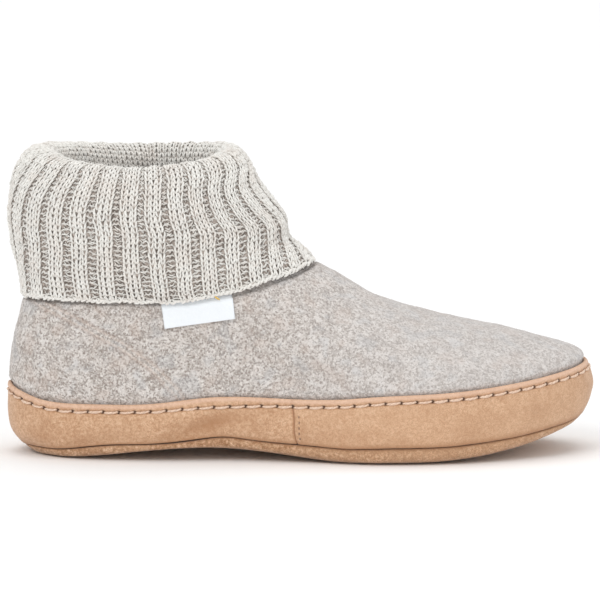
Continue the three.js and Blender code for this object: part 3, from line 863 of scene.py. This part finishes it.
# How the leather turns over its top edge and down behind it, and in under its lower edge: rise and out
TOP_TURN = [(0.25, -0.35), (0.3, -0.9), (0.05, -1.5), (-1.2, -SUEDE_WALL), (-4, -SUEDE_WALL)]
LOW_TURN = [(-0.25, -1.1), (-0.15, -0.45)]
CORD_LINE = 3.15  # how far the cord's stitches lie below the top edge
CORD_DIP = (97, 20, 1.2)  # near the waist they lie lower: x from the heel, half width and how much
CORD_PITCH = 7.15
CORD_SIDES = 10
CORD_TURNS = 1.6  # turns of the two plies from hole to hole
CORD_WAIST = 0.13
# A stitch of cord from hole to hole: share of its length, how far it stands out, and radius
CORD_STITCH = [
    (0, -1.2, 0.3),
    (0.07, -0.6, 0.36),
    (0.16, -0.1, 0.45),
    (0.28, 0.12, 0.54),
    (0.42, 0.2, 0.58),
    (0.56, 0.22, 0.58),
    (0.7, 0.18, 0.54),
    (0.82, 0.08, 0.47),
    (0.91, -0.12, 0.4),
    (0.97, -0.65, 0.34),
    (1, -1.2, 0.3),
]
SEAM_STITCHES = 5
SEAM_STITCH_LINE = 2.4  # from the seam at the waist to a row of tiny stitches beside it
SEAM_STITCH_SPAN = (8, 18.4)  # below the top edge
SEAM_STITCH_RADIUS = 0.27
# A tiny stitch: how far along and how far out
SEAM_STITCH = [(-0.4, -0.3), (-0.2, 0), (0, 0.08), (0.2, 0), (0.4, -0.3)]
# Soft troughs in the leather: x from the heel, share of the band's height below its top edge,
# half width, half share of the height, depth, how dark its painted shade is, and how much of the height it
# climbs in a millimetre
TROUGHS = [
    (94, 0.62, 15, 0.23, 1.5, 0.8, 0.012),
    (84, 0.97, 14, 0.2, 0.5, 0.55, 0.0),
    (80, 0.7, 6, 0.25, 0.4, 0.3, 0.0),
    (17, 0.62, 7, 0.3, 0.5, 0.35, 0.0),
    (44, 0.8, 16, 0.2, 0.35, 0.3, 0.004),
    (150, 0.75, 20, 0.2, 0.4, 0.25, 0.0),
    (182, 0.35, 14, 0.18, 0.3, 0.15, 0.0),
    (214, 0.7, 12, 0.2, 0.35, 0.2, 0.0),
    (243, 0.6, 7, 0.25, 0.3, 0.25, 0.0),
]


def band_grid(theta):
    """Levels in rows up the band, how far each lies below its top edge, and the band's height."""
    fine = np.linspace(BAND_TOP, 0, 161)
    depths = lengths_along(form.at(theta, fine))
    heights = depths[:, -1:]
    edge = BAND_EDGE * np.linspace(0, 0.9, 19) + 0 * heights
    below = np.concatenate([edge, mix(BAND_EDGE, heights, np.linspace(0, 1, 26))], 1)
    levels = np.stack([np.interp(wanted, depth, fine) for wanted, depth in zip(below, depths)])
    return levels[:, ::-1], below[:, ::-1], heights


def band_relief(points, below, heights, run, to_line, pitch):
    """How far the leather stands out, and how much painted shade each place gets, in its dents and seams and
    at the stitch holes.
    """
    to_hole = np.abs((run / pitch + 0.5) % 1 - 0.5) * pitch
    hole = hump(np.hypot(to_hole[:, None], to_line), 0.75)
    gather = np.cos(run / pitch * TURN)[:, None] * np.exp(-np.abs(to_line) / np.where(to_line > 0, 3.2, 1.2))
    out = 0.3 * hump(below - 1.25, 1.0)  # the rolled top edge
    out -= 0.5 * hump(to_line, 0.6) + 0.8 * hole + 0.14 * gather
    out += 0.35 * noise(points, 26) * smooth(below / 8) + 0.12 * noise(points, 7) * smooth(below / 5)
    # painted shade: each trough is darkened as well as sunk
    trough_shade = np.zeros(below.shape)
    for x, depth_share, half, half_share, depth, dark, climb in TROUGHS:
        beside = points[..., 0] - x
        wave = hump(beside, half) * hump(below / heights - depth_share + climb * beside, half_share)
        out -= depth * wave
        trough_shade = np.maximum(trough_shade, dark * wave)
    to_end = np.minimum(run, run[-1] - run)[:, None]
    under_cord = mix(0.35, 1, smooth((below - CORD_LINE) / 2))
    out -= (hump(to_end, 0.4) + 0.2 * hump(to_end - 1.2, 1.0)) * under_cord
    for shade in (
        0.75 * hump(below / heights - 1.0, 0.075),  # along the sole
        0.6 * hump(to_line - 0.85, 0.35),  # under the cord
        0.7 * hump(to_end, 0.6) * under_cord,  # at the join
    ):
        trough_shade = np.maximum(trough_shade, shade)
    return out, trough_shade, smooth(hole * 1.3)


def turned_edge(edge, way, normals, turns):
    """Rows that lead on from an edge. way points out of it, along the face."""
    return np.stack([edge + unit(way) * rise + normals * out for rise, out in turns], 1)


def seam_stitches(surface, u, below):
    """A row of tiny stitches down the band beside its seam."""
    column = below[int(u)]
    beside, out = np.transpose(SEAM_STITCH)
    places = np.linspace(*SEAM_STITCH_SPAN, SEAM_STITCHES)[:, None] + beside
    v = np.interp(-places, -column, np.arange(len(column)))
    radii = np.full(v.shape, SEAM_STITCH_RADIUS)
    points, quads = tubes(surface.at(u, v, out), radii, surface.normal(u, v), 6)
    name = "seam_stitches_outer" if points[:, 1].mean() < 0 else "seam_stitches_inner"
    # the tiny stitches are all in painted shade
    make_piece(name, points, [quads], CORD, None, {"deep": np.full(len(points), 0.75)})


def cord_stitches(name, surface, line_row, holes):
    """Plump lengths of twisted cord that sag a little from hole to hole, and rise towards the toe."""
    share, out, radius = np.transpose(CORD_STITCH)
    u = mix(holes[:-1, None], holes[1:, None], share)
    rows = np.interp(u, np.arange(len(line_row)), line_row)
    here = surface.at(u, rows)
    # towards the toe is along u on the outer side and against it on the inner side
    towards_toe = np.sign(here[:, -1, 0] - here[:, 0, 0])[:, None]
    spacing = np.linalg.norm(surface.at(u, rows + 0.5) - surface.at(u, rows - 0.5), axis=-1)
    centred = 2 * share - 1
    rise = 0.22 * centred * towards_toe - 0.42 * (1 - centred**2) + RANDOM.normal(0, 0.08, (len(u), 1))
    rows = rows + rise / np.maximum(spacing, 0.1)
    lines = surface.at(u, rows, out - 0.1)
    radii = radius * RANDOM.uniform(0.9, 1.1, (len(u), 1))
    points, quads = tubes(lines, radii, surface.normal(u, rows), CORD_SIDES)
    points = points.reshape(*u.shape, CORD_SIDES, 3)
    # two plies: the section is a little waisted, and turns along the stitch
    turn = np.arange(CORD_SIDES) / CORD_SIDES * TURN
    waist = CORD_WAIST * np.cos(2 * (turn - share[:, None] * TURN * CORD_TURNS))
    points = lines[:, :, None] + (points - lines[:, :, None]) * (1 + waist[..., None])
    # painted shade where the cord dives into its holes and in the groove between the plies
    deep = np.clip(smooth((-0.1 - out) / 0.5)[:, None] - 0.25 * waist / CORD_WAIST, 0, 1)
    deep = np.broadcast_to(deep, points.shape[:3])
    make_piece(name, points, [quads], CORD, None, {"deep": deep})


def band_piece(name, node, start, end, columns):
    """The band between two angles, in columns from its lower edge up, with what its stitches need."""
    ring = form.rows[:, BAND_TOP - 1]
    shares = np.linspace(girth_share(ring, start), girth_share(ring, end), columns)
    theta = girth_angle(ring, shares)[:, None]
    levels, below, heights = band_grid(theta)
    points = form.at(theta, levels)
    surface = Patch(points, closed=False)

    dip_at, dip_half, dip = CORD_DIP
    cord_depth = CORD_LINE + dip * hump(points[:, -1, 0] - dip_at, dip_half)
    rows = np.arange(below.shape[1])
    line_row = np.array([np.interp(-wanted, -column, rows) for wanted, column in zip(cord_depth, below)])
    u = np.arange(columns)
    run = lengths_along(surface.at(u, line_row))
    stitches = round(run[-1] / CORD_PITCH)
    pitch = run[-1] / stitches
    out, trough_shade, hole = band_relief(points, below, heights, run, below - cord_depth[:, None], pitch)

    face = points + surface.normals * out[..., None]
    low = turned_edge(face[:, 0], points[:, 1] - points[:, 0], surface.normals[:, 0], LOW_TURN)
    top = turned_edge(face[:, -1], points[:, -1] - points[:, -2], surface.normals[:, -1], TOP_TURN)
    whole = np.concatenate([low, face, top], 1)

    def padded(values, low_value, top_value):
        sides = ((0, 0), (len(LOW_TURN), len(TOP_TURN)))
        return np.pad(values, sides, constant_values=((0, 0), (low_value, top_value)))

    # a painted highlight along the rolled top edge and over it
    rim = padded(hump(below - 0.9, 1.1), 0, 0.6)
    # painted shade on the edge tucked in under the band
    values = {"trough_shade": padded(trough_shade, 0.9, 0), "rim": rim, "hole": padded(hole, 0, 0)}
    faces = [grid_faces(columns, whole.shape[1], False)]
    make_piece(name, whole, faces, SUEDE, node, values)
    holes = np.interp(np.arange(stitches + 1) * pitch, run, u)
    seams = np.interp([SEAM_STITCH_LINE, run[-1] - SEAM_STITCH_LINE], run, u)
    return surface, below, line_row, holes, seams


heel_surface, _, heel_line, heel_holes, _ = band_piece(
    "band_heel_suede", "band_heel", -SEAM_ANGLE, SEAM_ANGLE, 640)
toe_surface, toe_below, toe_line, toe_holes, toe_seams = band_piece(
    "band_toe_suede", "band_toe", SEAM_ANGLE, TURN - SEAM_ANGLE, 720)
for seam in toe_seams:
    seam_stitches(toe_surface, seam, toe_below)
cord_stitches("cord_heel", heel_surface, heel_line, heel_holes)
cord_stitches("cord_toe", toe_surface, toe_line, toe_holes)

# The outsole and the insole
SOLE_COLUMNS = 480
SOLE_ROWS = 17
INSOLE_COLUMNS = 240
INSOLE_LINES = 40
SOLE_BUMPS = [(14, 0.22), (5, 0.12)]


def ladder(ring, across, sag):
    """Lines from the outer to the inner side of a ring, with the middle moved up by sag."""
    half = len(ring) // 2
    outer = ring[: half + 1, None]
    inner = np.concatenate([ring[:1], ring[: half - 1 : -1]])[:, None]
    t = np.linspace(0, 1, across + 1)
    grid = mix(outer, inner, t[:, None])
    grid[..., 2] += sag * np.sin(np.pi * t)
    return grid


def closed_form(side_points, under, top):
    """Points and faces of a ring that is closed below and above by lines across it."""
    columns, rows = side_points.shape[:2]
    faces = [grid_faces(columns, rows, True)]
    start = columns * rows
    for grid, turned in ((under, -1), (top, 1)):
        faces.append(grid_faces(*grid.shape[:2], False, start)[:, ::turned])
        start += grid.shape[0] * grid.shape[1]
    return np.concatenate([points.reshape(-1, 3) for points in (side_points, under, top)]), faces


def outsole():
    theta = np.arange(SOLE_COLUMNS) / SOLE_COLUMNS * TURN
    wall = WALL_LEVELS[0][1:]
    top = seam_height(theta) - SEAM_GAP
    rings = []
    places = np.linspace(len(SOLE_LEVELS) - 1, 0, SOLE_ROWS)
    for down, *inset in curve_through(SOLE_LEVELS, places):
        x, y = foot_ring(theta, *((w - r) * SUEDE_WALL for w, r in zip(wall, inset)))
        rings.append(np.stack([x, y, mix(top, floor_height(along(theta)), np.clip(down, 0, 1))], -1))
    side_points = np.stack(rings, 1)
    out = bumps(side_points, SOLE_BUMPS) * np.sin(np.linspace(0, np.pi, SOLE_ROWS))
    side_points = side_points + Patch(side_points, closed=True).normals * out[..., None]
    under = ladder(side_points[:, 0], 24, 0.0)
    top = ladder(side_points[:, -1], 12, 0.0)
    points, faces = closed_form(side_points, under, top)
    # painted shade along the top of the sole's side, under the band; the hidden top is fully shaded
    shade = np.tile(0.75 * hump(np.linspace(1, 0, SOLE_ROWS), 0.22), SOLE_COLUMNS)
    trough_shade = np.concatenate([shade, np.zeros(under.size // 3), np.ones(top.size // 3)])
    make_piece("outsole_suede", points, faces, SOLE_SUEDE, "outsole", {"trough_shade": trough_shade})


def insole():
    theta = np.arange(INSOLE_COLUMNS) / INSOLE_COLUMNS * TURN
    inset = SUEDE_WALL + SEAM_GAP + FELT_WALL + INSOLE_GAP
    rings = []
    for up in (0, 0.5, 1):
        height = seam_height(theta) + SEAM_GAP + up * INSOLE_THICKNESS
        ring = form.offset(theta, level_at_height(theta, -inset, height, 0, BAND_TOP), -inset)
        ring[:, 2] = height
        rings.append(ring)
    side_points = np.stack(rings, 1)
    top = ladder(side_points[:, -1], INSOLE_LINES, -0.6)
    top[..., 2] += 0.2 * noise(top, 9) * np.sin(np.linspace(0, np.pi, INSOLE_LINES + 1))
    points, faces = closed_form(side_points, ladder(side_points[:, 0], 4, 0.0), top)
    piece = make_piece("insole_pad", points, faces, INSOLE_FELT, "insole")


outsole()
insole()

# The knit cuff. Rows count knitted rows from its hanging edge, over the fold and down to the seam inside.
OUTER_ROWS = 28
INNER_ROWS = 22
LAST_ROW = OUTER_ROWS + INNER_ROWS - 1
FOLD_LEVEL = 8.0
RIB_STEPS = 12
ROW_STEPS = 4
# Row, and half the width of a rib's three wales there as a share of the rib's spacing
CREST_HALF = [(0, 0.31), (5, 0.295), (14, 0.315), (24, 0.365), (28, 0.42), (32, 0.49), (50, 0.49)]
# Row, and how strongly the ribs stand out there: less near the hanging edge, and least inside
RELIEF = [(0, 0.25), (2.5, 0.8), (6, 1), (24, 1), (29, 0.85), (33, 0.5), (50, 0.5)]
# A leg of a stitch: share of its length, how far aside, up and out, and how thick
LEG = [
    (0, 0.08, -0.15, -0.6, 0.85),
    (0.22, 0.22, 0.12, 0, 1.05),
    (0.5, 0.35, 0.5, 0.1, 1.05),
    (0.8, 0.4, 0.95, -0.15, 0.95),
    (1, 0.33, 1.2, -0.8, 0.65),
]
LINKS_PER_RIB = 5
FABRIC_STEPS = 8
FABRIC_ROWS = 60
KNIT_HAIRS = 7000


def evenly(lines, steps):
    """Lines of points again, with points at even steps along them."""
    share = np.linspace(0, 1, steps)
    even = np.empty((len(lines), steps, 3))
    for i, lengths in enumerate(lengths_along(lines)):
        for axis in range(3):
            even[i, :, axis] = np.interp(share * lengths[-1], lengths, lines[i, :, axis])
    return even


def knit_patch():
    """The cuff's face, in RIB_STEPS columns to a rib and ROW_STEPS rows to a knitted row, a little uneven."""
    ribs = np.arange(RIB_COUNT * RIB_STEPS) / RIB_STEPS
    parts = []
    for levels, rows in (
        (np.linspace(0, FOLD_LEVEL, 121), OUTER_ROWS),
        (np.linspace(FOLD_LEVEL, CUFF_LAST, 81), INNER_ROWS),
    ):
        lines = np.stack([cuff_form.at(rib_angle(ribs, level), level) for level in levels], 1)
        parts.append(evenly(lines, rows * ROW_STEPS + 1))
    points = np.concatenate([parts[0], parts[1][:, 1:]], 1)
    normals = Patch(points, closed=True).normals
    up = unit(np.gradient(points, axis=1))
    hanging = np.exp(-np.arange(points.shape[1]) / 6)
    shifts = [
        (np.cross(up, normals), 0.3 * noise(points, 8)),
        (up, 0.25 * noise(points + 31, 9) + 0.35 * hanging * noise(points + 17, 5)),
        (normals, 0.22 * noise(points + 53, 11) + 0.15 * noise(points + 71, 4.5)),
    ]
    return Patch(points + sum(way * shift[..., None] for way, shift in shifts), closed=True)


knit = knit_patch()


def knit_at(rib, row, out):
    return knit.at(rib * RIB_STEPS, row * ROW_STEPS, out)


def crest_half(row):
    return np.interp(row, *np.transpose(CREST_HALF))


def relief(row):
    return np.interp(row, *np.transpose(RELIEF))


def stitches(*ranges):
    """Every combination of values, each as a column."""
    return (values.reshape(-1, 1) for values in np.meshgrid(*ranges, indexing="ij"))


def strands(name, ribs, rows, out, radii, sides, deep):
    """A piece of yarn strands over the knit, with painted shade on them: the last argument is how much."""
    normals = knit.normal(ribs * RIB_STEPS, rows * ROW_STEPS)
    points, quads = tubes(knit_at(ribs, rows, out), radii, normals, sides)
    deep = np.repeat(np.broadcast_to(deep, ribs.shape).ravel(), sides)
    make_piece(name, points, [quads], YARN, "cuff", {"deep": deep})


def knit_legs(name, first, last, steps, sides, plunge=1.0):
    """The two legs of each knit stitch of the ribs' three wales, between two rows. plunge is how deep their
    ends go in."""
    marks, *shape = np.transpose(LEG)
    across, climb, height, thick = (np.interp(np.linspace(0, 1, steps), marks, values) for values in shape)
    height = plunge * height
    rib, wale, row, side = stitches(range(RIB_COUNT), range(3), range(first, last), (-1, 1))

    def of_stitch(spread):
        """A random number for each leg that both legs of a stitch share."""
        return np.repeat(RANDOM.normal(0, spread, len(rib) // 2), 2)[:, None]

    rows = row + 0.75 + of_stitch(0.07) + climb
    width = 2 * crest_half(rows) / 3
    middle = rib + 0.5 + (wale - 1) * width
    lean = RANDOM.normal(0, 0.02, rib.shape) + of_stitch(0.035)
    wide = 1 + of_stitch(0.08)
    ribs = middle + (side * across * wide + lean) * width
    rounded = -0.4 * np.abs(wale - 1) * relief(rows)
    out = height + rounded + RANDOM.normal(0, 0.05, rib.shape) + of_stitch(0.1)
    swell = RANDOM.uniform(0.92, 1.08, rib.shape) * (1 + of_stitch(0.05))
    to_next = knit_at(middle + width / 2, rows, 0) - knit_at(middle - width / 2, rows, 0)
    radii = thick * swell * np.clip(np.linalg.norm(to_next, axis=-1) * 0.21, 0.3, 0.52)
    # painted shade where the legs' ends dive in, and a little more on some stitches at random
    deep = smooth(-height / 0.7) * 0.5 + np.abs(of_stitch(0.09))
    strands(name, ribs, rows, out, radii, sides, deep)


def purl_bars(name, first, last, steps, sides):
    """The bars of the purl wales in the valleys: two arch up, one on each wale, and one between them sags."""
    t = np.linspace(-1, 1, steps)
    rib, kind, row = stitches(range(RIB_COUNT), range(3), range(first, last))
    sags = kind == 2
    valley = 1 - 2 * crest_half(row + 0.9)
    centre = np.choose(kind, [-0.25, 0.25, 0.0]) * valley
    arch = np.where(sags, -0.24, 0.24) + RANDOM.normal(0, 0.08, row.shape)
    slant = RANDOM.normal(0, 0.15, row.shape)
    level = row + np.where(sags, 1.4, 0.9) + RANDOM.normal(0, 0.08, row.shape)
    rows = level + arch * (1 - 1.6 * t**2) + slant * t
    centre += RANDOM.normal(0, 0.04, row.shape) * valley
    ribs = rib + 1.0 + centre + t * valley * 0.3
    sink = np.interp(np.abs(t), [0, 0.6, 1], [0.25, 0.05, -0.4])
    out = -1.15 * relief(rows) - 0.1 + sink + RANDOM.normal(0, 0.12, row.shape)
    radii = mix(0.42, 0.3, np.abs(t)) * RANDOM.uniform(0.8, 1.15, row.shape)
    # painted shade on the valley bars, more at their ends
    deep = np.clip(0.14 + 0.3 * t**2 + RANDOM.normal(0, 0.08, row.shape), 0, 1)
    strands(name, ribs, rows, out, radii, sides, deep)


def cuff_fabric():
    """The fabric behind the stitches, which closes the gaps between them."""
    columns = RIB_COUNT * FABRIC_STEPS
    rib = np.arange(columns)[:, None] / FABRIC_STEPS
    row = np.linspace(0.3, OUTER_ROWS + INNER_ROWS, FABRIC_ROWS)
    crest = 1 - smooth((np.abs(rib % 1 - 0.5) - crest_half(row) * 0.85) / 0.1)
    face = knit_at(rib, row, mix(-0.55 - 1.3 * relief(row), -0.9, crest))
    back = knit_at(rib, row, -KNIT_WALL)[:, ::-1]
    rows = np.concatenate([row, row[::-1]])
    # painted shade: the fabric behind the stitches is fully shaded outside and half shaded inside the cuff
    deep = np.tile(np.interp(rows, [26, 32], [1.0, 0.5]), columns)
    faces = [grid_faces(columns, len(rows), True, loop=True)]
    make_piece("cuff_fabric", np.concatenate([face, back], 1), faces, YARN, "cuff", {"deep": deep})


def cuff_edge():
    """The chain along the hanging edge, of slanting links."""
    count = RIB_COUNT * LINKS_PER_RIB
    t = np.linspace(0, 1, 6)
    lift = np.interp(t, [0, 0.2, 0.8, 1], [-0.6, 0, 0, -0.6])
    plump = np.interp(t, [0, 0.3, 0.7, 1], [0.38, 0.64, 0.64, 0.38])
    place = (np.arange(count)[:, None] + 0.5) / LINKS_PER_RIB
    chain = []
    for start_row, end_row, shift, out in ((0.05, 0.75, 0.0, -0.1), (0.75, 0.2, 0.1, -0.35)):
        ribs = place + shift + (t - 0.5) * 0.27
        tilt = RANDOM.normal(0, 0.12, place.shape) * (2 * t - 1)
        rows = mix(start_row, end_row, t) + tilt + RANDOM.normal(0, 0.12, place.shape)
        radii = plump * RANDOM.uniform(0.85, 1.15, place.shape)
        chain.append((ribs, rows, out + lift + 0 * ribs, radii))
    # a little painted shade over the whole chain
    strands("cuff_edge", *(np.concatenate(values) for values in zip(*chain)), 6, 0.1)


def cuff_fuzz():
    rib = RANDOM.random(KNIT_HAIRS) * RIB_COUNT
    row = RANDOM.random(KNIT_HAIRS) ** 0.8 * (OUTER_ROWS + 6)
    roots = knit_at(rib, row, np.where(np.abs(rib % 1 - 0.5) < 0.33, 0.3, -0.9))
    normals = knit.normal(rib * RIB_STEPS, row * ROW_STEPS)
    flat = random_tangents(normals) * RANDOM.uniform(0.3, 1, (KNIT_HAIRS, 1))
    directions = flat + normals * RANDOM.uniform(0.2, 1, (KNIT_HAIRS, 1))
    lengths = RANDOM.uniform(0.7, 2.2, KNIT_HAIRS)
    points, faces = fibres(roots, directions, normals, lengths, 0.045, 0.5)
    make_piece("cuff_fuzz", points, faces, YARN_HAIR, smoothed=False)


knit_legs("cuff_ribs_low", 0, 15, 5, 5)
knit_legs("cuff_ribs_fold", 15, 32, 5, 5)
knit_legs("cuff_ribs_inside", 32, LAST_ROW, 4, 4, plunge=0.4)
purl_bars("cuff_valleys", 0, 34, 5, 4)
purl_bars("cuff_valleys_inside", 34, LAST_ROW, 4, 4)
cuff_fabric()
cuff_edge()
cuff_fuzz()

# The woven tab, and the end of the thread that it is sewn on with
LABEL_COLUMNS = 45
THREAD_AT = 96.0  # from the heel
# The thread's end: how many levels over the cuff's edge, how far out, and radius
THREAD_TIP = [(0.05, 0.3, 0.25), (0, 0.9, 0.35), (-0.06, 0.6, 0.35), (-0.12, 0.1, 0.2)]


def angle_beside(x, level_at):
    """Angle over the felt's outer side at a given x, where level_at gives the level from the angle."""
    theta = np.full(x.shape, math.pi / 2)
    for _ in range(8):
        level = level_at(theta)
        theta = search(x.shape, 0, math.pi, lambda angle: form.at(angle, level)[..., 0] < x)
    return theta


def label():
    """A flat satin tab, tucked under the cuff, with a straight lower edge."""
    across = np.linspace(0, 1, LABEL_COLUMNS)
    x = LABEL_START * LENGTH + across * LABEL_WIDTH
    edge_angle = angle_beside(x, edge_level)
    edge_height = form.offset(edge_angle, edge_level(edge_angle), EDGE_OUT)[..., 2]
    heel_corner, toe_corner = edge_height[[0, -1]] - LABEL_DROP + np.array([0, LABEL_TILT])
    lowest = mix(heel_corner, toe_corner, across)
    curl = 0.35 * (across * 2 - 1) ** 6 + 0.15 * np.sin(across * 4.8 - 1.8) ** 2
    face = []
    back = []

    def row(level_at, x_here, free, pinch=0.0):
        """A row across the tab. free is how far it is from the cuff, and pinch thins it at its lower edge."""
        theta = angle_beside(x_here, level_at)
        level = level_at(theta)
        point = over_felt(theta, level, LABEL_GAP)
        normal = over_felt(theta, level, LABEL_GAP + 1.0) - point
        lift = curl * free**1.5 + 0.25 * free**3
        back.append(point + normal * (lift + pinch)[:, None])
        face.append(point + normal * (lift + LABEL_THICKNESS - pinch)[:, None])

    pinches = [(1, 0.12), (0.985, 0.02), (0.95, 0.0)]
    for free, pinch in pinches + [(free, 0.0) for free in np.linspace(0.88, 0.2, 9)]:
        def level_at(theta, free=free):
            return level_at_height(theta, 0, mix(edge_height, lowest, free), BAND_TOP, COLLAR)

        row(level_at, x + LABEL_LEAN * free, free, pinch)
    for above in (-PRESS_RAMP * 0.6, 0.0, LABEL_TUCK):
        row(lambda theta, above=above: edge_level(theta) + above, x, 0.0)

    points = np.concatenate([np.stack(face, 1), np.stack(back, 1)[:, ::-1]], 1)
    rows = points.shape[1]
    k = np.arange(rows // 2 - 1)
    ends = np.stack([k, k + 1, rows - 2 - k, rows - 1 - k], 1)
    last = (LABEL_COLUMNS - 1) * rows
    faces = [grid_faces(LABEL_COLUMNS, rows, False, loop=True), ends, ends[:, [1, 0, 3, 2]] + last]
    make_piece("label_satin", points, faces, SATIN, "label")


def thread_tip():
    above, out, radii = np.transpose(THREAD_TIP)
    theta = angle_beside(np.array([THREAD_AT]), edge_level)[:, None]
    levels = edge_level(theta) + above
    points = form.offset(theta, levels, EDGE_OUT + out)
    normals = form.offset(theta, levels, EDGE_OUT + out + 1.0) - points
    tip, quads = tubes(points, radii[None], normals, 6)
    make_piece("thread_tip", tip, [quads], THREAD)


label()
thread_tip()

# Light, floor and camera, in metres
LIGHTS_AIM = (0, 0, 0.06)
# Name, place, size and power
LIGHTS = [
    ("key", (-2.7, -4.5, 4.5), 3.6, 121),
    ("fill", (4.2, -3.9, 2.7), 4.2, 40),
    ("low", (0.0, -5.5, 0.5), 3.0, 30),
    ("top", (0.3, 1.2, 5.7), 4.8, 107),
]
WORLD_STRENGTH = 0.68
FLOOR_HALF = 20
FLOOR_BELOW = 0.0003
CAMERA_ELEVATION = math.radians(8)
CAMERA_DISTANCE = 6.0
FRAME_WIDTH = 0.2742  # across the frame at the object
LOOK_AT = (-0.0001, 0, 0.0692)


def add(name, data, place):
    thing = bpy.data.objects.new(name, data)
    thing.location = place
    bpy.context.scene.collection.objects.link(thing)
    return thing


for name, place, size, power in LIGHTS:
    light = bpy.data.lights.new(name, "AREA")
    light.shape = "SQUARE"
    light.size = size
    light.energy = power
    way = Vector(LIGHTS_AIM) - Vector(place)
    add(name, light, place).rotation_euler = way.to_track_quat("-Z", "Y").to_euler()

world = bpy.data.worlds.new("studio")
world.use_nodes = True
world.node_tree.nodes["Background"].inputs["Color"].default_value = (1.0, 1.0, 1.0, 1.0)
world.node_tree.nodes["Background"].inputs["Strength"].default_value = WORLD_STRENGTH
bpy.context.scene.world = world
bpy.context.scene.view_settings.view_transform = "Standard"

floor_mesh = bpy.data.meshes.new("floor")
floor_corners = [(x * FLOOR_HALF, y * FLOOR_HALF, 0) for x, y in ((-1, -1), (1, -1), (1, 1), (-1, 1))]
floor_mesh.from_pydata(floor_corners, [], [(0, 1, 2, 3)])
floor_mesh.materials.append(plain_material("floor", (251, 251, 251), 1.0))
add("floor", floor_mesh, (0, 0, -FLOOR_BELOW))

camera_data = bpy.data.cameras.new("camera")
camera_data.sensor_width = 36
camera_data.lens = camera_data.sensor_width * CAMERA_DISTANCE / FRAME_WIDTH
camera_data.clip_end = 100
away = Vector((0, -math.cos(CAMERA_ELEVATION), math.sin(CAMERA_ELEVATION)))
camera = add("camera", camera_data, Vector(LOOK_AT) + CAMERA_DISTANCE * away)
camera.rotation_euler = (math.pi / 2 - CAMERA_ELEVATION, 0, 0)
bpy.context.scene.camera = camera
